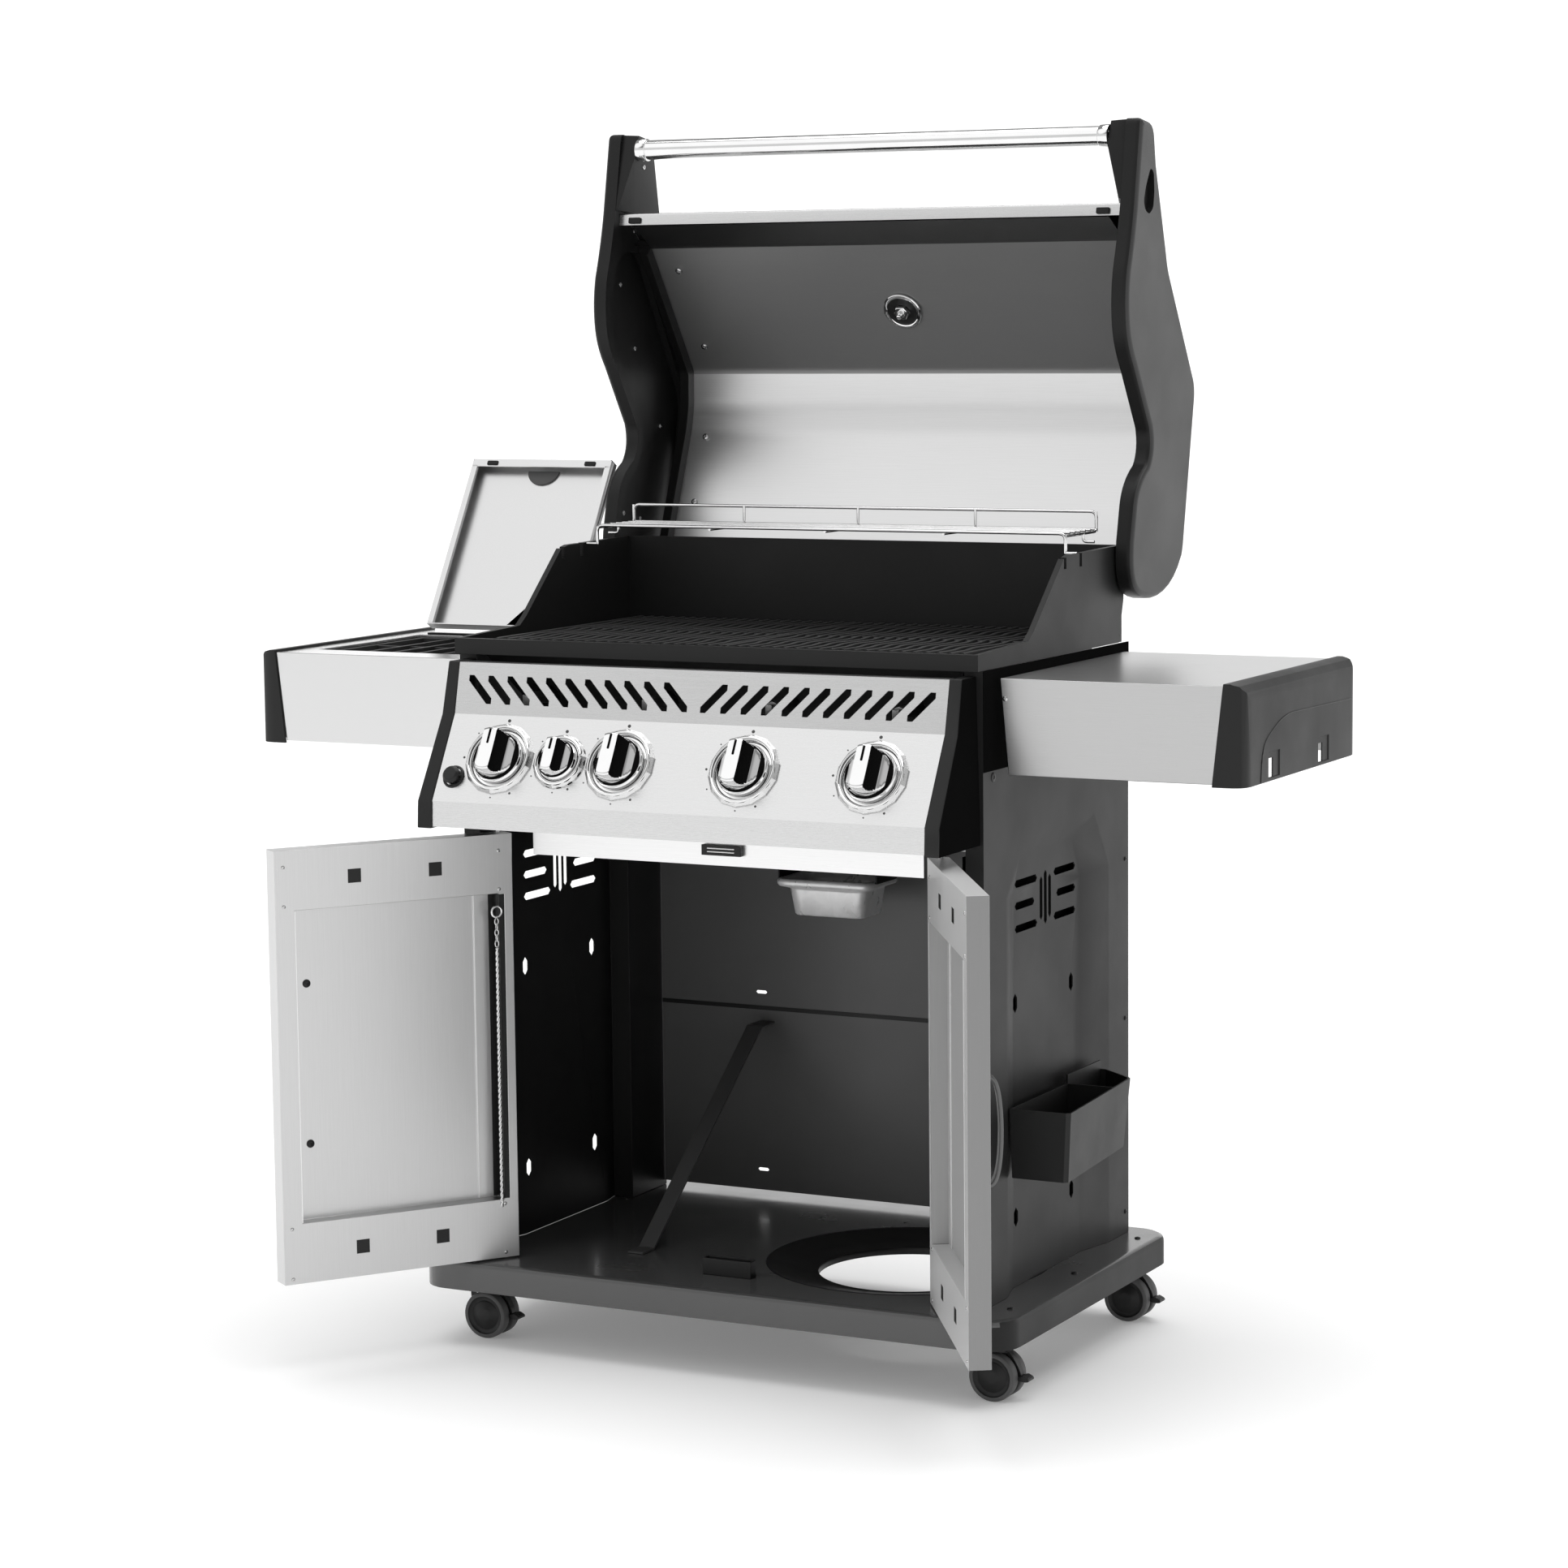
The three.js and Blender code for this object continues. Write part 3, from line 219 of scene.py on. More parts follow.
# Painted shade: a darker copy of the casting paint for the castings' front faces.
painted("casting_edge_painted_shade", 0.012, peel=700.0, depth=0.16, specular=0.2)
painted("base", 0.070, 0.22, depth=0.05, coat=0.25)
painted("black", 0.008, 0.40, specular=0.3)
painted("brace", 0.055, specular=0.4)
painted("knob_dark", 0.005, 0.6, specular=0.0)
painted("enamel", 0.014, peel=600.0, depth=0.18, specular=0.20)
cast_iron("iron", 0.030, 0.50, 700.0, 0.45)
painted("plastic", 0.016, 0.46, peel=1500.0, depth=0.22, specular=0.22)
painted("plastic_black", 0.008, peel=1500.0, depth=0.15, specular=0.35)
painted("tyre", 0.075, 0.62, peel=1100.0, depth=0.2)
painted("bumper", 0.010, 0.66, peel=1300.0, depth=0.2, specular=0.3)
crinkled("foil")
painted("dial", 0.72, 0.30, peel=1200.0, depth=0.02, coat=0.6)
painted("mark", 0.05, 0.5)


# ---------------- mesh helpers
UP = Vector((0, 0, 1))


class Mesh:
    """Vertices in millimetres and faces, gathered from several shapes; each face has a material number."""

    def __init__(self):
        self.points = []
        self.faces = []
        self.numbers = []

    def add(self, points, faces, place=None, number=0):
        start = len(self.points)
        turn = place or Matrix.Identity(4)
        self.points += [turn @ Vector(p) for p in points]
        self.faces += [tuple(start + i for i in face) for face in faces]
        self.numbers += [number] * len(faces)
        return self

    def data(self, name):
        mesh = bpy.data.meshes.new(name)
        mesh.from_pydata([p * MM for p in self.points], [], self.faces)
        mesh.polygons.foreach_set("material_index", self.numbers)
        bm = bmesh.new()
        bm.from_mesh(mesh)
        bmesh.ops.remove_doubles(bm, verts=bm.verts, dist=1e-6)
        bmesh.ops.recalc_face_normals(bm, faces=bm.faces)
        bm.to_mesh(mesh)
        bm.free()
        return mesh


def lathe(mesh, profile, segments, place=None, number=0):
    """A [radius, height] profile turned about local Z."""
    points, faces, rows = [], [], []
    for radius, height in profile:
        count = segments if radius > 1e-6 else 1
        rows.append(range(len(points), len(points) + count))
        for i in range(count):
            angle = math.tau * i / segments
            points.append((radius * math.cos(angle), radius * math.sin(angle), height))
    for low, high in zip(rows, rows[1:]):
        for i in range(segments):
            j = (i + 1) % segments
            corners = [low[i % len(low)], low[j % len(low)], high[j % len(high)], high[i % len(high)]]
            face = list(dict.fromkeys(corners))
            if len(face) > 2:
                faces.append(face)
    return mesh.add(points, faces, place, number)


def stack(mesh, rings, place=None, number=0, closed=False):
    """Rings of points, each joined to the next, with flat ends unless the last meets the first."""
    count, size = len(rings), len(rings[0])
    faces = []
    for row in range(count if closed else count - 1):
        after = (row + 1) % count
        for i in range(size):
            j = (i + 1) % size
            faces.append((row * size + i, row * size + j, after * size + j, after * size + i))
    if not closed:
        faces += [tuple(range(size)), tuple(range((count - 1) * size, count * size))]
    return mesh.add([p for ring in rings for p in ring], faces, place, number)


def sweep(mesh, path, section, place=None, closed=False, up=UP):
    """A closed [side, up] section carried along a path."""
    route = [Vector(p) for p in path]
    rings = []
    for i, at in enumerate(route):
        before = route[i - 1] if closed or i else at
        after = route[(i + 1) % len(route)] if closed or i < len(route) - 1 else at
        along = (after - before).normalized()
        side = along.cross(up)
        side = side.normalized() if side.length > 1e-4 else Vector((1, 0, 0))
        top = side.cross(along)
        rings.append([at + side * s + top * t for s, t in section])
    return stack(mesh, rings, place, closed=closed)


def circle(radius, sides):
    angles = [math.tau * i / sides for i in range(sides)]
    return [(radius * math.cos(angle), radius * math.sin(angle)) for angle in angles]


def prism(mesh, outline, low, high, place=None, number=0):
    """An [x, y] outline between two heights on local Z."""
    size = len(outline)
    points = [(x, y, low) for x, y in outline] + [(x, y, high) for x, y in outline]
    faces = [tuple(range(size)), tuple(range(size, 2 * size))]
    faces += [(i, (i + 1) % size, size + (i + 1) % size, size + i) for i in range(size)]
    return mesh.add(points, faces, place, number)


def block(mesh, low, high, place=None, number=0):
    (x0, y0, z0), (x1, y1, z1) = low, high
    return prism(mesh, [(x0, y0), (x1, y0), (x1, y1), (x0, y1)], z0, z1, place, number)


def rounded(points, radius, steps=5, closed=True):
    """The points with their corners rounded; radius is one number or one for each corner."""
    count = len(points)
    radii = radius if isinstance(radius, (list, tuple)) else [radius] * count
    out = []
    for i, p in enumerate(points):
        at = Vector(p)
        if radii[i] <= 0 or (not closed and i in (0, count - 1)):
            out.append(tuple(at))
            continue
        before, after = Vector(points[i - 1]), Vector(points[(i + 1) % count])
        back, on = before - at, after - at
        reach = min(radii[i], back.length * 0.49, on.length * 0.49)
        a, b = at + back.normalized() * reach, at + on.normalized() * reach
        for k in range(steps + 1):
            t = k / steps
            out.append(tuple(a * (1 - t) ** 2 + at * 2 * t * (1 - t) + b * t * t))
    return out


def box_outline(x0, x1, y0, y1, radius, steps=4):
    return rounded([(x0, y0), (x1, y0), (x1, y1), (x0, y1)], radius, steps)


def offset(points, distance):
    """A closed outline moved outwards by a distance along its corner normals."""
    flat = [Vector(p) for p in points]
    area = sum(a.x * b.y - b.x * a.y for a, b in zip(flat, flat[1:] + flat[:1]))
    sign = 1 if area > 0 else -1
    out = []
    for i, at in enumerate(flat):
        before, after = at - flat[i - 1], flat[(i + 1) % len(flat)] - at
        a = Vector((before.y, -before.x)).normalized()
        b = Vector((after.y, -after.x)).normalized()
        mitre = (a + b).normalized()
        out.append(tuple(at + mitre * (sign * distance / max(0.5, mitre.dot(a)))))
    return out


def pillow(mesh, outline, bottom, top, edge, place=None, number=0, steps=4):
    """A prism whose upper edge is rounded over by edge."""
    levels = [(0.0, bottom)]
    for k in range(steps + 1):
        angle = math.pi / 2 * k / steps
        levels.append((-edge * (1 - math.cos(angle)), top - edge * (1 - math.sin(angle))))
    rings = [[(x, y, height) for x, y in offset(outline, inset)] for inset, height in levels]
    return stack(mesh, rings, place, number)


def smooth_by_angle(mesh, degrees):
    bm = bmesh.new()
    bm.from_mesh(mesh)
    limit = math.radians(degrees)
    for face in bm.faces:
        face.smooth = True
    for edge in bm.edges:
        edge.smooth = len(edge.link_faces) == 2 and edge.calc_face_angle(0) < limit
    bm.to_mesh(mesh)
    bm.free()


def solid(mesh):
    obj = bpy.data.objects.new("solid", mesh.data("solid"))
    SCENE.collection.objects.link(obj)
    return obj


def carve(obj, cutter, operation="DIFFERENCE"):
    """Applies one boolean to obj and removes the cutter."""
    modifier = obj.modifiers.new("carve", "BOOLEAN")
    modifier.object = cutter
    modifier.operation = operation
    modifier.solver = "MANIFOLD"
    modifier.material_mode = "TRANSFER"
    bpy.context.view_layer.update()
    made = bpy.data.meshes.new_from_object(obj.evaluated_get(bpy.context.evaluated_depsgraph_get()))
    obj.modifiers.clear()
    obj.data = made
    bpy.data.objects.remove(cutter)


def soften(obj, width, angle=28, planar=True):
    """Bevels an object's sharp edges and shades its flats flat; planar first joins faces in one plane."""
    if planar:
        weld = obj.modifiers.new("weld", "WELD")
        weld.merge_threshold = 2e-5
        dissolve = obj.modifiers.new("dissolve", "DECIMATE")
        dissolve.decimate_type = "DISSOLVE"
        dissolve.angle_limit = math.radians(0.6)
    bevel = obj.modifiers.new("bevel", "BEVEL")
    bevel.width = width * MM
    bevel.segments = 2
    bevel.limit_method = "ANGLE"
    bevel.angle_limit = math.radians(angle)
    bevel.harden_normals = False
    normals = obj.modifiers.new("normals", "WEIGHTED_NORMAL")
    normals.weight = 80
    normals.keep_sharp = True


def finish_piece(obj, name, body, materials, replaces=(), bevel=0.0, smooth=38):
    obj.name = name
    obj.data.name = name
    numbers = [polygon.material_index for polygon in obj.data.polygons]
    obj.data.materials.clear()
    for key in materials:
        obj.data.materials.append(MATERIAL[key])
    obj.data.polygons.foreach_set("material_index", numbers)
    smooth_by_angle(obj.data, smooth if not bevel else 180)
    if bevel:
        soften(obj, bevel, planar=False)
    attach(obj, body)
    if replaces:
        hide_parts(*replaces)


def piece(name, mesh, body, materials, replaces=(), bevel=0.0, smooth=38):
    finish_piece(solid(mesh), name, body, materials, replaces, bevel, smooth)


def dress(node, material, bevel=0.8, angle=28):
    """A CAD node keeps its shape: it gets a material, softened edges and smooth shading."""
    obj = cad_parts[node]
    obj.data.materials.clear()
    obj.data.materials.append(MATERIAL[material])
    custom = obj.data.attributes.get("custom_normal")
    if custom:
        obj.data.attributes.remove(custom)
    obj.data.polygons.foreach_set("use_smooth", [True] * len(obj.data.polygons))
    soften(obj, bevel, angle)


def node_box(node):
    """The two corners of a CAD node's box, in millimetres."""
    return [Vector(corner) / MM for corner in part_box(node)]


def screw(mesh, place, radius, height, number=0):
    """A pan head with a dished middle."""
    head = ((0, 0.35), (0.34, 0.35), (0.42, 0.95), (0.7, 0.92), (0.93, 0.6), (1, 0.1))
    profile = [(radius * across, height * level) for across, level in head] + [(radius, -0.6)]
    return lathe(mesh, profile, 20, place, number)


def facing(at, normal):
    """A frame at a point whose Z looks along a normal."""
    z = Vector(normal).normalized()
    x = UP.cross(z)
    x = x.normalized() if x.length > 1e-4 else Vector((1, 0, 0))
    y = z.cross(x)
    return Matrix.Translation(Vector(at)) @ Matrix((x, y, z)).transposed().to_4x4()


def turned(at, degrees, axis):
    return Matrix.Translation(at) @ Matrix.Rotation(math.radians(degrees), 4, axis)


# ---------------- frames of the moving parts, at rest
LID = turned((0, 254.5, 1040), -100, "X")
LEFT_DOOR = turned((-327.5, -197.1, 0), -125, "Z")
RIGHT_DOOR = turned((327.5, -197.1, 0), 123, "Z")
COVER = turned((-539.5, 162.5, 938), -120.9, "X")
PANEL_OUT = Vector((0, -0.8744, 0.4852))
# Local X, Y and Z of the lid's side outline are its closed Y, Z and the grill's X.
LID_SIDE = LID @ Matrix(((0, 0, 1, 0), (1, 0, 0, 0), (0, 1, 0, 0), (0, 0, 0, 1)))


# ---------------- CAD nodes that keep their shape
# Material, bevel in millimetres and, where it is not the usual one, the least angle that is bevelled.
DRESS = {
    "base_shelf": ("base", 2.0),
    "side_panel_left": ("charcoal", 1.2), "side_panel_right": ("charcoal", 1.2),
    # Painted light: the back panels take a lighter copy of the charcoal paint.
    "back_panel_lower": ("charcoal_back_painted_light", 0.3), "back_panel_upper": ("charcoal_back_painted_light", 0.3),
    "front_rail": ("steel_rail", 0.6), "door_catch_upper": ("plastic_black", 0.8),
    "door_catch_lower": ("plastic_black", 0.8), "cylinder_brace": ("brace", 0.8),
    "firebox": ("enamel", 1.2), "gas_manifold": ("burner_steel", 0.8),
    "control_panel": ("steel", 1.4, 8), "ignition_button": ("plastic_black", 0.8),
    "panel_cap_left": ("plastic", 1.6), "panel_cap_right": ("plastic_black", 1.6),
    "left_shelf": ("steel_left_shelf", 1.6), "left_shelf_cap": ("plastic", 2.2),
    "right_shelf": ("steel_right_shelf", 2.4), "right_shelf_cap": ("plastic", 2.2),
    "side_burner_grate": ("iron", 1.0),
    "door_left": ("steel_left_door", 0.7), "door_right": ("steel_right_door", 0.7),
    "condiment_bin": ("plastic", 1.4), "grease_tray": ("enamel", 0.5),
}
for node_name, finish in DRESS.items():
    dress(node_name, *finish)
# Faces of a CAD node that look along a direction and lie above a height take a second material.
FACE_MATERIAL = [
    ("side_panel_left", (1, 0, 0), 0.5, 0, "black"),
    ("side_panel_right", (-1, 0, 0), 0.5, 0, "black"),
    ("panel_cap_left", (-1, 0, 0), 0.9, 0, "knob_dark"),
    ("panel_cap_right", (1, 0, 0), 0.9, 0, "knob_dark"),
    # Painted shade: the base shelf's right-facing sides take the darker charcoal.
    ("base_shelf", (1, 0, 0), 0.6, 0, "charcoal"),
    # Painted shade: the right door's free edge takes a darker steel.
    ("door_right", (0.545, -0.839, 0), 0.95, 0, "steel_free_edge_painted_shade"),
    ("door_right", (0, 0, 1), 0.95, 700, "plastic_black"),
]
for node_name, direction, cosine, lowest, finish_name in FACE_MATERIAL:
    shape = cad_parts[node_name]
    shape.data.materials.append(MATERIAL[finish_name])
    turn = shape.matrix_world.to_3x3()
    for polygon in shape.data.polygons:
        looks_there = (turn @ polygon.normal).normalized().dot(Vector(direction)) > cosine
        if looks_there and (shape.matrix_world @ polygon.center).z > lowest * MM:
            polygon.material_index = len(shape.data.materials) - 1
for number in range(1, 5):
    dress(f"burner_{number}", "burner_steel", 0.4, angle=40)
    dress(f"flame_plate_{number}", "burner_steel", 0.4)


# ---------------- knobs, bezels and panel marks
# Where each knob stands across the panel.
KNOBS = {"knob_burner_1": -271.0, "knob_side_burner": -180.5, "knob_burner_2": -90.5,
         "knob_burner_3": 90.5, "knob_burner_4": 271.0}


def knob(name, x):
    """A gas knob with a skirt and a raised bar across its grip, its bezel and the marks round it; dark paint
    on the grip's flanks, above the skirt and on the bezel's outer edge is painted reflection and shade.
    """
    small = name == "knob_side_burner"
    # Radii of the skirt and the grip, height of the top, radius of the bezel.
    skirt, grip, height, bezel = (28.0, 24.6, 34.6, 36.6) if small else (36.0, 31.4, 41.0, 48.0)
    foot = 15
    rise = height - foot
    place = facing((x, -280.0, 807.0), PANEL_OUT)
    body = Mesh()
    rings = [(0, 3), (skirt - 3, 3), (skirt - 0.8, 3.6), (skirt, 5.2), (skirt, 7), (skirt - 1, 9.2),
             (skirt - 3, 11.2), (grip + 1.6, 13), (grip + 0.2, foot)]
    steps = 14
    for k in range(1, steps + 1):
        rings.append((grip - 1.6 * k / steps, foot + rise * k / steps * 0.90))
    for radius, level in ((grip - 2.2, 0.955), (grip - 3.6, 0.985), (grip - 6.0, 1), (grip * 0.5, 1), (0, 1)):
        rings.append((radius, foot + rise * level))
    lathe(body, rings, 96)
    half_bar = grip * 0.30
    for p in body.points:
        share = (p.z - foot) / rise
        if share > 0:
            limit = half_bar + (grip - half_bar) * max(0.0, 1 - share * 1.18) ** 2.6
            if abs(p.x) > limit:
                p.x = math.copysign(limit + (abs(p.x) - limit) * 0.02, p.x)
    body.points = [place @ p for p in body.points]
    for index, face in enumerate(body.faces):
        a, b, c = (body.points[i] for i in face[:3])
        middle = sum((body.points[i] for i in face), Vector()) / len(face)
        flank = (place.to_3x3().inverted() @ (b - a).cross(c - a)).normalized()
        level = (place.inverted() @ middle).z
        # Painted reflection and shade: steep flanks of the grip and the step above the skirt take the dark
        # material.
        if abs(flank.x) > 0.58 and level > foot + rise * 0.22 or 11 < level < 16:
            body.numbers[index] = 1
    prism(body, box_outline(-1.6, 1.6, grip * 0.20, grip - 4.5, 1.2), height - 0.6, height + 0.35, place, 1)
    piece(name + "_body", body, name, ["chrome", "knob_dark"], [name], smooth=46)

    ring = Mesh()
    inner = bezel - 9
    lathe(ring, [(inner, 0.5), (inner, 4), (bezel - 7.6, 6.2), (bezel - 6.2, 8.9), (bezel - 4.6, 9.7),
                 (bezel - 3.0, 9.3), (bezel - 2.0, 7.8), (bezel - 1.2, 5.4), (bezel - 0.2, 4.6),
                 (bezel + 0.5, 3.6), (bezel + 0.6, 0.3)], 72, place)
    # Painted reflection and shade: a dark ring over the bezel's outer edge.
    lathe(ring, [(bezel - 2.0, 7.95), (bezel - 1.15, 5.55), (bezel - 0.1, 4.75), (bezel + 0.62, 3.7),
                 (bezel + 0.72, 0.3)], 72, place, 1)
    lathe(ring, [(bezel - 7.5, 6.3), (inner - 0.1, 4.1), (inner - 0.1, 2.2), (0, 2.2)], 72, place)
    piece(name + "_bezel", ring, "cart", ["chrome", "knob_dark"], smooth=50)

    marks = Mesh()
    for degrees, size in ((90, 2.3), (180, 1.6), (-60, 1.6), (140, 1.0), (-90, 1.0), (-150, 1.0)):
        angle = math.radians(degrees)
        reach = bezel + 6.5
        at = place @ Matrix.Translation((reach * math.cos(angle), reach * math.sin(angle), 0))
        lathe(marks, [(0, 2.1), (size, 2.05), (size, 1.6)], 14, at)
    piece(name + "_marks", marks, "cart", ["mark"])


for knob_name, knob_x in KNOBS.items():
    knob(knob_name, knob_x)


def ignition_ring():
    ring = Mesh()
    place = facing((-334.0, -293.6, 782.5), PANEL_OUT)
    lathe(ring, [(12.4, 0.2), (12.4, 3.4), (13.4, 4.2), (15.2, 3.6), (16, 2), (16, 0.2)], 40, place)
    piece("ignition_button_bezel", ring, "cart", ["plastic_black"])


ignition_ring()


# ---------------- lid
def bezier_outline(start, moves):
    """An outline from lines, quadratic and cubic curves, given as their control points."""
    steps = 8
    out = [Vector(start)]
    for controls in moves:
        a = out[-1]
        points = [Vector(c) for c in controls]
        if len(points) == 1:
            out.append(points[0])
            continue
        for k in range(1, steps + 1):
            t = k / steps
            if len(points) == 2:
                out.append(a * (1 - t) ** 2 + points[0] * 2 * t * (1 - t) + points[1] * t * t)
            else:
                out.append(a * (1 - t) ** 3 + points[0] * 3 * t * (1 - t) ** 2
                           + points[1] * 3 * t * t * (1 - t) + points[2] * t ** 3)
    return [tuple(p) for p in out]


CASTING_OUTLINE = bezier_outline((-591, -82), [
    [(-590, -88), (-580, -88)], [(-476, -89)], [(-430, -91), (-385, -99)], [(-345, -102), (-310, -89)],
    [(-285, -80), (-262, -54)], [(-190, 14)], [(-162, 30), (-138, 14)], [(-112, -20), (-80, -23)],
    [(-30, -26)], [(20, -24), (36, -6), (38, 25)], [(42, 82), (18, 136), (-30, 161)],
    [(-36, 164), (-50, 165)], [(-250, 171)], [(-268, 171), (-280, 162)], [(-405, 49)],
    [(-414, 41), (-430, 34)], [(-540, -23)], [(-575, -35)], [(-592, -41), (-592, -55)],
])
POCKET_OUTLINE = rounded([
    (-420, -72), (-330, -82), (-300, -68), (-178, 42), (-132, 30), (-94, -7), (-20, -11), (22, 10),
    (22, 84), (-44, 146), (-246, 154), (-398, 26), (-440, -12)], 26)
# Distances from the grill's middle: a casting's two faces, its arm, and the edges of skin and liner.
CASTING_IN, CASTING_OUT, ARM_IN, SKIN_HALF, LINER_HALF = 386, 409, 361.3, 385.5, 364


def casting(side):
    """One cast side of the lid: a rounded slab with a pocket inside and a thicker arm at the handle."""
    name = "lid_casting_right" if side > 0 else "lid_casting_left"
    place = LID_SIDE @ Matrix.Diagonal((1, 1, side, 1))
    slab = solid(pillow(Mesh(), CASTING_OUTLINE, CASTING_IN, CASTING_OUT, 8.5, place, steps=5))
    if side > 0:
        drop = rounded([(1509, 296), (1514, 282), (1526, 276), (1545, 283), (1571, 300), (1566, 312),
                        (1540, 314), (1518, 310)], 6)
        upright = Matrix(((0, 0, 1, 0), (0, 1, 0, 0), (1, 0, 0, 0), (0, 0, 0, 1)))
        carve(slab, solid(prism(Mesh(), drop, CASTING_OUT - 9, CASTING_OUT + 5, upright, 1)))
    carve(slab, solid(prism(Mesh(), POCKET_OUTLINE, CASTING_IN - 6, CASTING_IN + 10, place)))
    arm_points = [(-589, -40, ARM_IN), (-589, -80, ARM_IN), (-556, -88, ARM_IN), (-556, -30, ARM_IN),
                  (-482, 3, 364), (-482, -60, 372), (-482, -88, 383), (-590, -44, 388), (-590, -82, 388),
                  (-482, -88.5, 388), (-482, 5, 388)]
    bm = bmesh.new()
    for p in arm_points:
        bm.verts.new((place @ Vector(p)) * MM)
    bmesh.ops.convex_hull(bm, input=bm.verts)
    bmesh.ops.recalc_face_normals(bm, faces=bm.faces)
    arm_mesh = bpy.data.meshes.new("arm")
    bm.to_mesh(arm_mesh)
    bm.free()
    arm = bpy.data.objects.new("arm", arm_mesh)
    SCENE.collection.objects.link(arm)
    carve(slab, arm, "UNION")
    for polygon in slab.data.polygons:
        inward = polygon.normal.x * side < -0.5
        # Painted shade: faces turned to the front take the darker casting_edge_painted_shade paint.
        front = polygon.normal.y < -0.2 and abs(polygon.normal.x) < 0.6
        polygon.material_index = 1 if inward else 2 if front else min(polygon.material_index, 1)
    finish_piece(slab, name + "_shell", "lid", ["casting", "plastic_black", "casting_edge_painted_shade"],
                 [name], bevel=1.1)
    trim = Mesh()
    inner_face = Vector((-side, 0, 0))
    for y, z, depth in ((-548, -60, ARM_IN), (-520, -60, 386), (-462, -30, 386), (-380, -60, 386),
                        (-300, 10, 395), (-200, 100, 395), (-60, 60, 395), (-60, -5, 386)):
        at = LID_SIDE @ Vector((y, z, side * depth))
        screw(trim, facing(at, inner_face), 3.6, 1.8)
    piece(name + "_screws", trim, "lid", ["screw"])


casting(-1)
casting(1)

SKIN_PATH = rounded([(-462, -76), (-479, -76), (-479, -62), (-454, -13), (-298, 142), (-236, 154),
                     (-192, 153), (-62, 132), (4, 120), (28, 78), (30, 40)],
                    [0, 3, 5, 16, 46, 26, 18, 30, 22, 24, 0], steps=7, closed=False)
LINER_PATH = rounded([(-461, -72), (-441, -20), (-286, 132), (-235, 140), (-197, 138), (-74, 112),
                      (-10, 100), (16, 66), (19, 42)], [0, 5, 7, 10, 10, 14, 14, 14, 0], closed=False)


def sheet_outline(path, thickness):
    """The closed outline of a bent sheet: the path, and the path moved to its right."""
    flat = [Vector(p) for p in path]
    moved = []
    for i, at in enumerate(flat):
        before = at - flat[i - 1] if i else flat[1] - flat[0]
        after = flat[i + 1] - at if i < len(flat) - 1 else before
        along = (before.normalized() + after.normalized()).normalized()
        moved.append(tuple(at + Vector((along.y, -along.x)) * thickness))
    return list(path) + moved[::-1]


def lid_skin():
    """The outer sheet, its turned front hem in the brighter steel and the rest in a darker copy as painted
    light and shade, and two rubber bumpers.
    """
    skin = Mesh()
    hem = next(i for i, (y, z) in enumerate(SKIN_PATH) if z > -60)
    # Painted light and shade: the hem takes the brighter steel, the rest of the sheet a darker copy.
    for path, number in ((SKIN_PATH[:hem + 1], 1), (SKIN_PATH[hem:], 0)):
        prism(skin, sheet_outline(path, 1.5), -SKIN_HALF, SKIN_HALF, LID_SIDE, number)
    piece("lid_skin_shell", skin, "lid", ["steel_lid_painted_shade", "steel"], ["lid_skin"], smooth=24)
    bumpers = Mesh()
    for x in (-360, 357):
        outline = box_outline(-472.5, -464, x - 9.5, x + 9.5, 2)
        place = LID @ Matrix(((0, 1, 0, 0), (1, 0, 0, 0), (0, 0, -1, 0), (0, 0, 0, 1)))
        pillow(bumpers, outline, 75.6, 79.6, 1.2, place, steps=3)
    piece("lid_bumpers", bumpers, "lid", ["bumper"])


lid_skin()


def lid_liner():
    """The inner sheet, its front return and slanted panel in darker copies of its steel as painted shade,
    narrow side flanges and the black ends of the hood.
    """
    liner = Mesh()
    split = next(i for i, (y, z) in enumerate(LINER_PATH) if z > -19)
    crown = next(i for i, (y, z) in enumerate(LINER_PATH) if y > -284)
    # Painted shade: the front return and the slanted panel take darker steels than the rest of the sheet.
    parts = ((LINER_PATH[:split + 1], 1), (LINER_PATH[split:crown + 1], 3), (LINER_PATH[crown:], 0))
    for path, number in parts:
        prism(liner, sheet_outline(path, -1.5), -LINER_HALF, LINER_HALF, LID_SIDE, number)
    for x0, x1 in ((-LINER_HALF, 1.6 - LINER_HALF), (LINER_HALF - 1.6, LINER_HALF)):
        prism(liner, sheet_outline(LINER_PATH[split - 2:], 17), x0, x1, LID_SIDE, 2)
    for x0, x1 in ((-385.4, -364.4), (364.4, 385.4)):
        prism(liner, sheet_outline(LINER_PATH[1:], -9), x0, x1, LID_SIDE, 2)
    piece("lid_liner_sheet", liner, "lid", ["steel_liner", "steel_return_painted_shade", "plastic_black", "steel_slant_painted_shade"],
          ["lid_liner"], smooth=24)


lid_liner()


FLIPPED = Matrix.Diagonal((1, -1, -1, 1))


def liner_frame(y):
    """A frame on the liner's slanted panel at a closed-lid y, its Z into the cooking space."""
    slope = math.atan2(132 + 20, -286 + 441)
    z = -20 + (y + 441) * math.tan(slope)
    return LID @ Matrix.Translation((0, y, z)) @ Matrix.Rotation(slope, 4, "X") @ FLIPPED


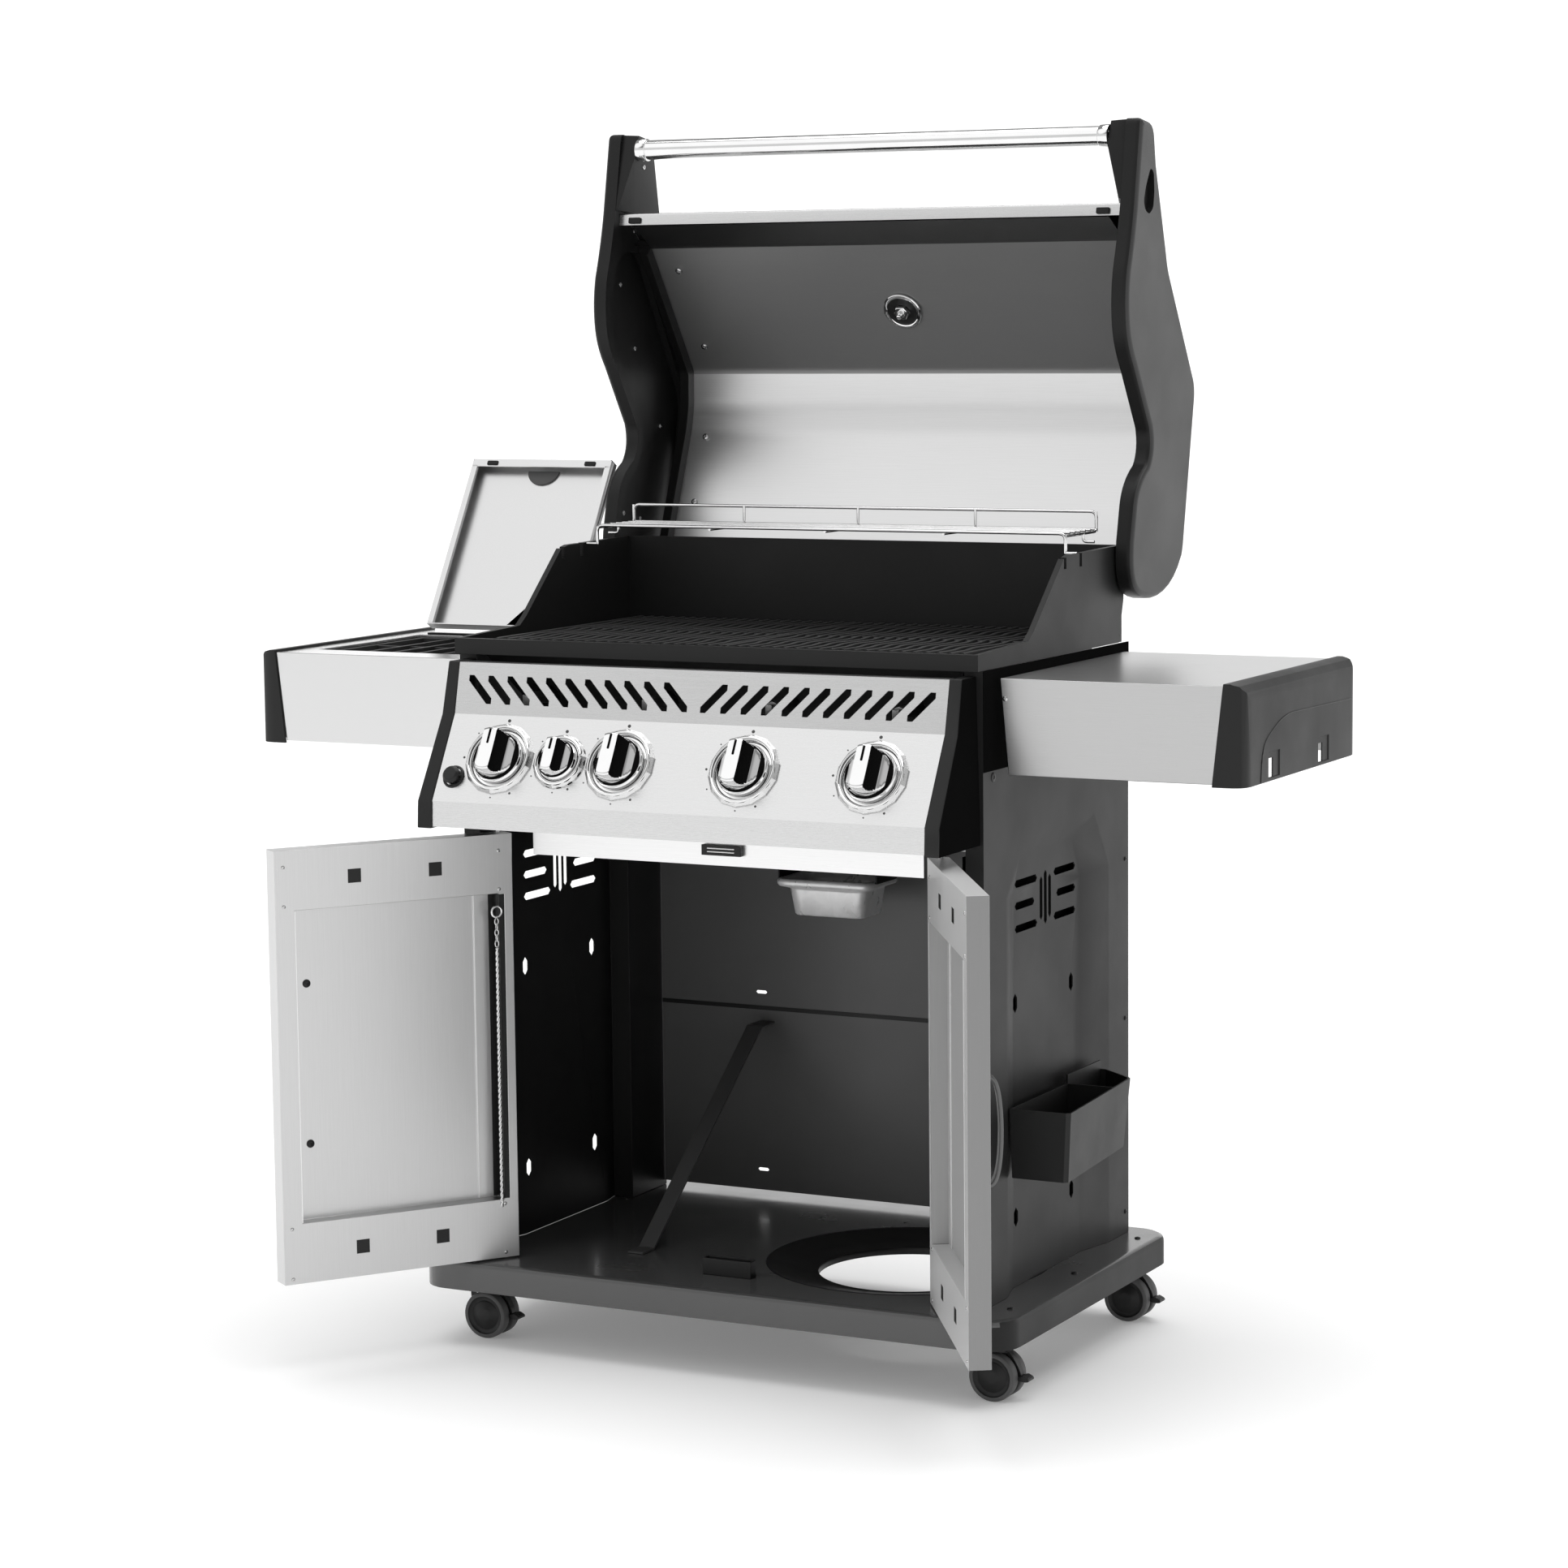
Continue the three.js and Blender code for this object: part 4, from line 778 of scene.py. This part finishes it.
def lid_details():
    """The thermometer, whose dial is outside and whose nut and probe are inside, and the liner's screws."""
    dial = Mesh()
    place = liner_frame(-360) @ Matrix.Translation((5, 0, 0)) @ FLIPPED
    lathe(dial, [(0, 16.2), (38, 16.2), (40.2, 17.6), (41, 20), (41, 25.5), (39.4, 28.4), (37.2, 29.4),
                 (35.4, 28.2), (34.6, 26.2), (34.2, 25)], 64, place)
    lathe(dial, [(34.4, 25.4), (0, 25.4)], 64, place, 1)
    for k in range(21):
        angle = math.radians(225 - 270 * k / 20)
        tick = place @ Matrix.Rotation(angle, 4, "Z")
        reach = 6 if k % 5 == 0 else 3.4
        block(dial, (31.5 - reach, -0.45, 25.3), (31.5, 0.45, 25.75), tick, 2)
    needle = place @ turned((0, 0, 0), 205, "Z")
    prism(dial, [(-7, -1.5), (27, -0.4), (27, 0.4), (-7, 1.5)], 26.4, 27, needle, 2)
    lathe(dial, [(3.2, 25.4), (3.2, 27.6), (2.2, 28.2), (0, 28.2)], 20, place)
    lathe(dial, [(28.5, -1.7), (28.5, -3.6), (27.4, -4.6), (24, -4.6), (22.8, -3.6)], 56, place)
    lathe(dial, [(22.8, -3.6), (20, -2.4), (11, -2.2)], 56, place, 3)
    lathe(dial, [(11.2, -2), (11.2, -8.2), (10.2, -9), (5.6, -9)], 6, place)
    lathe(dial, [(5.6, -8), (5.6, -13), (4.8, -14), (3.4, -14), (3.4, -18), (2.6, -18.6),
                 (0, -18.8)], 24, place)
    lathe(dial, [(5.2, 17), (5.2, -8.5)], 24, place)
    piece("thermometer", dial, "lid", ["chrome", "dial", "mark", "plastic_black"],
          ["lid_thermometer"], smooth=40)

    screws = Mesh()
    for x, y in ((-330, -412), (-330, -318)):
        at = liner_frame(y) @ Matrix.Translation((x, 0, 1.6))
        screw(screws, at, 5, 2.6)
    for x, y, z in ((-337, -190, 136.5), (-337, -92, 116), (337, -92, 116)):
        at = LID @ Vector((x, y, z - 2))
        screw(screws, facing(at, LID.to_3x3() @ Vector((0, -0.14, -1))), 4.6, 2.4)
    piece("lid_liner_screws", screws, "lid", ["screw"])


lid_details()


def lid_handle():
    tube = Mesh()
    place = LID @ turned((0, -569, -76), 90, "Y")
    half = 360.7
    profile = [(12.2, -half), (15.6, -half), (15.9, -half + 1.2), (15.9, -half + 13), (15.2, -half + 14.2),
               (14, -half + 14.6)]
    whole = profile + [(radius, -level) for radius, level in reversed(profile)]
    lathe(tube, whole, 64, place)
    piece("lid_handle_tube", tube, "lid", ["chrome"], ["lid_handle"], smooth=50)


lid_handle()


# ---------------- cooking grates and warming rack
def cooking_grate(name):
    low, high = node_box(name)
    grate = Mesh()
    bar, pitch, steps = 7.4, 17.2, 40
    section = box_outline(-bar / 2, bar / 2, -5.4, 5.2, 2.2, 2)
    middle = (low.z + high.z) / 2
    front, back = low.y + 5, high.y - 5
    count = round((high.x - low.x - bar) / pitch)
    for i in range(count + 1):
        x = low.x + bar / 2 + (high.x - low.x - bar) * i / count
        wave = 0 if i in (0, count) else 4.2
        path = []
        for k in range(steps + 1):
            share = k / steps
            sway = wave * math.sin(share * math.tau * 3.5) * min(1, 8 * share, 8 * (1 - share))
            path.append((x + sway, front + (back - front) * share, middle))
        sweep(grate, path, section)
    for y in (front, (front + back) / 2, back):
        sweep(grate, [(low.x + 2, y, middle - 1), (high.x - 2, y, middle - 1)],
              box_outline(-4, 4, -4.4, 4.6, 1.6, 2))
    piece(name + "_bars", grate, "cart", ["iron"], [name], smooth=50)


cooking_grate("cooking_grate_left")
cooking_grate("cooking_grate_right")


def wire(mesh, points, radius, bend=9):
    path = rounded([Vector(p) for p in points], bend, steps=4, closed=False)
    return sweep(mesh, path, circle(radius, 10), up=Vector((0.13, 0.21, 0.97)))


def warming_rack():
    rack = Mesh()
    half, front, back, level, rail = 356, 132.5, 237.5, 1090, 1114
    for y, foot, top in ((back, level - 3, rail), (front, 1064, level)):
        wire(rack, [(-half, y, foot), (-half, y, top), (half, y, top), (half, y, foot)], 2.3)
    for k in range(1, 6):
        y = front + (back - front) * k / 6
        wire(rack, [(-half + 1, y, level), (half - 1, y, level)], 1.7)
    wire(rack, [(-half, back, level), (half, back, level)], 1.9)
    for x in (-half, -178, 0, 178, half):
        wire(rack, [(x, front, level - 3.2), (x, back - 1, level - 3.2), (x, back - 1, rail)], 1.9, bend=7)
    for side in (-1, 1):
        wire(rack, [(side * half, front, 1064), (side * 373, front, 1064)], 2.3, bend=4)
        wire(rack, [(side * half, 192.5, level - 2), (side * half, 192.5, 1076), (side * 372, 192.5, 1076)],
             2, bend=5)
    piece("warming_rack_wires", rack, "cart", ["wire"], ["warming_rack"], smooth=60)


warming_rack()


# ---------------- side burner and its cover
def side_burner():
    head = Mesh()
    low, high = node_box("side_burner")
    x, y = (low.x + high.x) / 2, (low.y + high.y) / 2
    floor = high.z - 22
    place = Matrix.Translation((x, y, floor))
    lathe(head, [(0, 0), (46, 0), (48, 1.4), (48, 10), (46, 12), (40, 12.6), (39, 14)], 60, place)
    for k in range(30):
        turn = place @ Matrix.Rotation(math.tau * k / 30, 4, "Z")
        block(head, (36.5, -2.2, 12), (43.5, 2.2, 16.2), turn)
    lathe(head, [(41.5, 15.6), (43.4, 17), (43, 19.4), (38, 21), (20, 21.8), (0, 22)], 60, place)
    lathe(head, [(9, -34), (9, 1)], 24, place)
    piece("side_burner_head", head, "cart", ["iron"], ["side_burner"], bevel=0.5)


side_burner()


def burner_cover():
    """A folded sheet lid, seen from inside: hemmed rims, a top flange with bumpers and a finger grip."""
    cover = Mesh()
    half, length, top, bottom = 116.5, 270, 8, -8
    block(cover, (-half, -length, top - 1.4), (half, 0, top), COVER)
    # Distance in from the side rim, along Y and up: the side wall, its hem and the hem's turned edge.
    for inset, (y0, y1), (z0, z1) in (((0, 1.4), (-length, 0), (bottom, top - 1.4)),
                                      ((1.4, 9), (-length + 10, -2), (bottom, bottom + 1.2)),
                                      ((7.8, 9), (-length + 10, -2), (bottom + 1.2, bottom + 5))):
        for side in (-1, 1):
            x0, x1 = sorted(side * (half - distance) for distance in inset)
            block(cover, (x0, y0, z0), (x1, y1, z1), COVER)
    # The front wall, the back wall and the front hem run from side to side.
    for inset, y0, y1, z1 in ((0, -length, -length + 1.4, top - 1.4), (1.4, -1.6, -0.2, top - 1.4),
                              (1.4, -length + 1.4, -length + 12, bottom + 1.2)):
        block(cover, (inset - half, y0, bottom), (half - inset, y1, z1), COVER)
    piece("burner_cover_sheet", cover, "burner_cover", ["steel_cover"], ["side_burner_lid"],
          bevel=0.5)
    extras = Mesh()
    under = COVER @ Matrix.Diagonal((1, 1, -1, 1))
    for x in (-82, 82):
        outline = box_outline(x - 9, x + 9, -length + 3, -length + 10, 2)
        pillow(extras, outline, -bottom, -bottom + 2, 1, under, 0, 2)
    angles = [math.pi * k / 20 for k in range(21)]
    grip = [(26 * math.cos(angle), -length + 13 + 22 * math.sin(angle)) for angle in angles]
    pillow(extras, grip, -6.4, -3.6, 1.2, under, 1, 3)
    piece("burner_cover_fittings", extras, "burner_cover", ["bumper", "tyre"])
    strip = Mesh()
    block(strip, (-652, 150.6, 926.6), (-427, 160.5, 929.4))
    piece("burner_cover_hinge_strip", strip, "cart", ["plastic_black"])


burner_cover()


# ---------------- casters
def caster(corner):
    """Two wheels on one axle, and a hooded fork behind its swivel stem with a brake pedal."""
    low, high = node_box("caster_wheels_" + corner)
    x, y = (low.x + high.x) / 2, (low.y + high.y) / 2
    axle = 32
    wheels = Mesh()
    for side in (-1, 1):
        place = facing((x, y + side * 6.2, axle), (0, side, 0))
        lathe(wheels, [(25, 0), (30.4, 0), (31.7, 1.2), (32, 3), (32, 11.4), (31.2, 13.6), (29.2, 14.8),
                       (26.6, 14.8), (26, 14.2)], 56, place)
        lathe(wheels, [(26, 0), (0, 0)], 56, place, 1)
        lathe(wheels, [(26.2, 14), (25.6, 13.2), (24.4, 12), (20, 11.4), (18.8, 12.4), (12, 12.8),
                       (10.6, 14), (6, 14.6), (0, 14.8)], 56, place, 1)
    lathe(wheels, [(4, -8), (4, 8)], 16, facing((x, y, axle), (0, 1, 0)), 1)
    piece("wheels_" + corner, wheels, "wheels_" + corner, ["tyre", "plastic_black"],
          ["caster_wheels_" + corner])

    fork = Mesh()
    stem = Matrix.Translation((x - 13, y, 0))
    hood = rounded([(-14, 74), (-18, 60), (-15, 42), (-8, 30), (14, 21), (34, 23), (49, 30), (47, 40),
                    (38, 56), (26, 69), (14, 74)], 6)
    upright = stem @ Matrix(((1, 0, 0, 0), (0, 0, 1, 0), (0, 1, 0, 0), (0, 0, 0, 1)))
    prism(fork, hood, -4.9, 4.9, upright)
    crown = rounded([(-17, 66), (-12, 74.5), (12, 74.5), (24, 68.5), (34, 66), (30, 65), (-10, 65)], 3)
    prism(fork, crown, -15.5, 15.5, upright)
    lathe(fork, [(11, 60), (11, 79.4)], 28, stem, 1)
    lathe(fork, [(0, 77.4), (19, 77.4), (20, 76.4), (20, 74.6), (17, 73)], 32, stem, 1)
    pedal = rounded([(44, 33), (53, 35.5), (60, 31.5), (60, 28.5), (54, 27.4), (45, 28.6)], 1.6, 3)
    prism(fork, pedal, -8.8, 8.8, upright)
    for k in range(4):
        block(fork, (51.5 + 2 * k, -8, 34.6 - 0.7 * k), (52.5 + 2 * k, 8, 35.6 - 0.7 * k), stem)
    piece("fork_" + corner, fork, "caster_" + corner, ["plastic_black", "screw"],
          ["caster_fork_" + corner], bevel=0.6)


for corner_name in ("front_left", "front_right", "rear_left", "rear_right"):
    caster(corner_name)


# ---------------- doors
def door_handle(side):
    """An arched bar with both feet on the door."""
    node = "door_handle_right" if side > 0 else "door_handle_left"
    body = "right_door" if side > 0 else "left_door"
    place = RIGHT_DOOR if side > 0 else LEFT_DOOR
    bow = Mesh()
    path = []
    for k in range(33):
        angle = math.pi * k / 32
        out = -10.7 - 20.5 * math.sin(angle) ** 0.55
        path.append((-side * 269, out, 403 - 67 * math.cos(angle)))
    sweep(bow, path, box_outline(-8, 8, -2.6, 2.6, 2.2, 4), place, up=Vector((0, -1, 0)))
    piece(node + "_bow", bow, body, ["steel_handle"], [node], smooth=50)


door_handle(-1)
door_handle(1)


def door_details():
    """Bumpers, screws, squares, painted highlight lines along the recess's edges and, on the right door, a
    lighter steel over the recess and channel as painted light, in a door's frame: X runs from its hinge.
    """
    recess_z = (203, 617)
    for side, body, place in ((-1, "left_door", LEFT_DOOR), (1, "right_door", RIGHT_DOOR)):
        inward = place.to_3x3() @ Vector((0, 1, 0))
        marks = Mesh()
        for z in (303, 517):
            screw(marks, facing(place @ Vector((-side * 276, -4.4, z)), inward), 5.6, 2.4, 1)
        for x in (-side * 313, -side * 8):
            for z in (129, 196, 624, 676):
                screw(marks, facing(place @ Vector((x, 17.6, z)), inward), 2.6, 1.2, 0)
        for x in (-side * 99.2, -side * 213.8):
            for z in (162, 658):
                block(marks, (x - 9.2, 16.4, z - 9.2), (x + 9.2, 17.9, z + 9.2), place, 1)
        # Painted light: a lighter steel sheet over the right door's recess, which lies in shade.
        if side > 0:
            block(marks, (-297, -4.5, 203.5), (-15, -4.1, 616.5), place, 3)
        # Painted light: the right door's channel spans take the lighter recess steel; the left door's are
        # black.
        channel = 1 if side < 0 else 3
        # Strips numbered 2 are painted highlights along the recess's edges.
        for x0, x1, y0, y1, number in (
                (0.5, 8, 16.9, 17.9, channel), (7.6, 8.2, -4.4, 17.9, channel),
                (8, 15, -4.5, -4, channel), (36, 37.2, -4.5, -2.6, 2),
                (297.4, 298.6, -4.2, 18, 2), (0, 0.9, 17, 18.2, 2)):
            low_x, high_x = sorted((-side * x0, -side * x1))
            block(marks, (low_x, y0, recess_z[0]), (high_x, y1, recess_z[1]), place, number)
        piece(body + "_fasteners", marks, body, ["screw", "plastic_black", "edge", "steel_recess_painted_light"])


door_details()


def lighting_rod():
    """A twisted wire rod on a short chain with a ring, in the channel beside the hinge."""
    rod = Mesh()
    place = LEFT_DOOR
    bottom, top, steps = 192, 545, 119
    for phase in (0, math.pi):
        path = []
        for k in range(steps + 1):
            z = bottom + (top - bottom) * k / steps
            angle = phase + z * 0.42
            path.append((13 + 1.2 * math.cos(angle), 19 + 1.2 * math.sin(angle), z))
        sweep(rod, path, circle(1.5, 6), place, up=Vector((1, 0, 0)))
    for k in range(5):
        centre = Vector((13, 19, 551 + k * 7.4))
        across = Vector((2.6, 0, 0)) if k % 2 == 0 else Vector((0, 2.6, 0))
        angles = [math.tau * i / 14 for i in range(14)]
        link = [centre + across * math.cos(angle) + UP * 4.9 * math.sin(angle) for angle in angles]
        sweep(rod, link, circle(0.8, 6), place, closed=True, up=Vector((0.3, 0.9, 0.1)))
    turns = [math.tau * i / 24 for i in range(24)]
    ring = [Vector((13 + 7.2 * math.cos(turn), 20, 594 + 7.2 * math.sin(turn))) for turn in turns]
    sweep(rod, ring, circle(1.6, 8), place, closed=True, up=Vector((0, 1, 0)))
    piece("lighting_rod_wire", rod, "left_door", ["wire"], ["lighting_rod"], smooth=70)


lighting_rod()


# ---------------- drip pan, base ring and small cart details
def drip_pan():
    """A pressed foil pan with sloping walls and a wide rolled rim."""
    low, high = node_box("drip_pan")
    cx, cy = (low.x + high.x) / 2, (low.y + high.y) / 2
    half_x, half_y = (high.x - low.x) / 2, (high.y - low.y) / 2
    levels = [(24, 0), (21.4, 0.5), (19.8, 2.4), (15, 36), (14.2, 38.6), (8, 40.6), (2, 42.4),
              (0, 45.6), (0, 49.6), (2, 52.4), (6, 53), (10, 51.4), (14, 47), (16.2, 42),
              (21.2, 4), (25, 2.4)]
    outline = box_outline(-half_x, half_x, -half_y, half_y, 20, 7)
    dense = []
    for a, b in zip(outline, outline[1:] + outline[:1]):
        pieces = max(1, int((Vector(b) - Vector(a)).length / 2.4))
        dense += [tuple(Vector(a).lerp(Vector(b), k / pieces)) for k in range(pieces)]
    rings = []
    for layer, (inset, lift) in enumerate(levels):
        depth = 0.8 if 4 < layer < 13 else 0.25
        ring = []
        for x, y in dense:
            crease = noise.noise(Vector((x * 0.05, y * 0.05, lift * 0.03))) * depth
            inward = inset + max(crease, 0)
            ring.append((cx + x * (1 - inward / half_x), cy + y * (1 - inward / half_y),
                         low.z + lift + crease * 0.5 + 0.3))
        rings.append(ring)
    piece("drip_pan_foil", stack(Mesh(), rings), "grease_drawer", ["foil"], ["drip_pan"], smooth=60)


drip_pan()


def cart_details():
    """The ring round the cylinder hole, screws, and the dark faces, lines and springs of the cart; the dark
    lines on the shelf caps and the dark sheet inside the right side panel are painted shade.
    """
    ring = Mesh()
    lathe(ring, [(122, 98), (121.2, 104.4), (122.4, 106.8), (126, 106), (150, 111.2), (186, 118.9),
                 (190.5, 120.2), (192.4, 119.7), (192.4, 118.9)], 96, Matrix.Translation((180, 6.5, 0)))
    piece("cylinder_hole_ring", ring, "cart", ["plastic_black"])

    screws = Mesh()
    for side in (-1, 1):
        for y in (-163, 233):
            screw(screws, facing((side * 383, y, 800), (side, 0, 0)), 6.4, 1.2, 1)
        for z in (150, 420, 640):
            for y in (-182, 272):
                screw(screws, facing((side * 383, y, z), (side, 0, 0)), 3.2, 1.6, 1)
        for y in (-178, 30, 250):
            screw(screws, facing((side * 410, y, 119.5), UP), 4.2, 2, 1)
    for x in (-330, -165, 0, 165, 330):
        for z in (140, 380, 407, 800):
            screw(screws, facing((x, 279.5, z), (0, 1, 0)), 3.4, 1.8, 1)
    for x in (-300, 300):
        screw(screws, facing((x, -170.7, 711), (0, -1, 0)), 3, 1.5, 0)
    for x in (404, -404):
        screw(screws, facing((x, -171.4, 901), (0, -1, 0)), 3.6, 1.8, 0)
    piece("cart_screws", screws, "cart", ["screw", "black"])

    cheeks = Mesh()
    for side in (-1, 1):
        low_x, high_x = sorted((side * 383.05, side * 384))
        block(cheeks, (low_x, -193.2, 808.5), (high_x, 283.2, 936.2))
    piece("side_panel_upper_faces", cheeks, "cart", ["knob_dark"])

    # Painted shade: a thin dark wire on each shelf cap's outer face marks the shaded lip of a shallow step.
    for side, name, body in ((-1, "left", "cart"), (1, "right", "folding_shelf")):
        shade_wire = Mesh()
        x = side * 724
        wire(shade_wire, [(x, -118, 803), (x, -112, 850), (x, -38, 881), (x, 216, 877)], 0.9, bend=38)
        piece(name + "_shelf_cap_shade_line", shade_wire, body, ["plastic_black"])

    # Painted shade: a dark sheet inside the right side panel, behind its openings.
    shade_plate = Mesh()
    block(shade_plate, (352, -190, 128), (353.2, 182, 700))
    piece("side_panel_right_shade_sheet", shade_plate, "cart", ["knob_dark"])

    seam = Mesh()
    block(seam, (-343, 276.6, 390.4), (343, 277.4, 396.4))
    piece("back_panel_seam", seam, "cart", ["plastic_black"])

    catches = Mesh()
    for z in (686, 690.5):
        wire(catches, [(-20, -178.4, z), (20, -178.4, z)], 1)
    for z in (129.5, 134.5):
        wire(catches, [(-26, -176, z), (26, -176, z)], 1.3)
    piece("door_catch_springs", catches, "cart", ["wire"])


cart_details()


# ---------------- studio
# Direction, full-strength radius and fade-out radius in degrees, level.
SOFTBOXES = (
    ((-0.46, -0.56, 0.69), 14, 31, 1.05),
    ((0.80, -0.30, 0.52), 8, 22, 0.35),
    ((0.36, -0.64, 0.69), 6, 16, 0.4),
)


def studio():
    """A white paper floor, a sky that is brightest low down behind the grill, soft boxes and one lamp."""
    size = 60000
    corners = [(-size, -size, 0), (size, -size, 0), (size, size, 0), (-size, size, 0)]
    floor = solid(Mesh().add(corners, [(0, 1, 2, 3)]))
    floor.name = "studio_floor"
    paper = Shader("studio_paper", Roughness=0.9, Specular_IOR_Level=0.15, Emission_Color=(1, 1, 1, 1),
                   Emission_Strength=0.14)
    paper.shade(paper.noise(1.5, detail=2), 0.90, 0.92)
    floor.data.materials.append(paper.material)

    world = bpy.data.worlds.new("studio")
    SCENE.world = world
    world.use_nodes = True
    tree = world.node_tree
    tree.nodes.clear()
    look = add_node(tree, "ShaderNodeTexCoord").outputs["Generated"]
    split = add_node(tree, "ShaderNodeSeparateXYZ", {"Vector": look})
    horizon = ranged(tree, split.outputs["Y"], -0.5, 0.4, 0.80, 1.30, "SMOOTHSTEP")
    upper = ranged(tree, split.outputs["Z"], 0.18, 0.50, 1, 0.24, "SMOOTHSTEP")
    total = add_node(tree, "ShaderNodeMath", {0: horizon, 1: upper}, operation="MULTIPLY").outputs["Value"]
    for direction, inner, outer, level in SOFTBOXES:
        product = add_node(tree, "ShaderNodeVectorMath", {0: look, 1: Vector(direction).normalized()},
                           operation="DOT_PRODUCT")
        start, end = math.cos(math.radians(outer)), math.cos(math.radians(inner))
        glow = ranged(tree, product.outputs["Value"], start, end, 0, level, "SMOOTHSTEP")
        total = add_node(tree, "ShaderNodeMath", {0: total, 1: glow}, operation="ADD").outputs["Value"]
    background = add_node(tree, "ShaderNodeBackground", {"Color": total})
    add_node(tree, "ShaderNodeOutputWorld", {"Surface": background.outputs["Background"]})

    data = bpy.data.lights.new("overhead", "SUN")
    data.energy = 2.3
    data.angle = math.radians(64)
    lamp = bpy.data.objects.new("overhead", data)
    lamp.rotation_euler = (math.radians(-6), math.radians(3), 0)
    SCENE.collection.objects.link(lamp)
    SCENE.view_settings.view_transform = "Standard"
    SCENE.view_settings.look = "None"


studio()
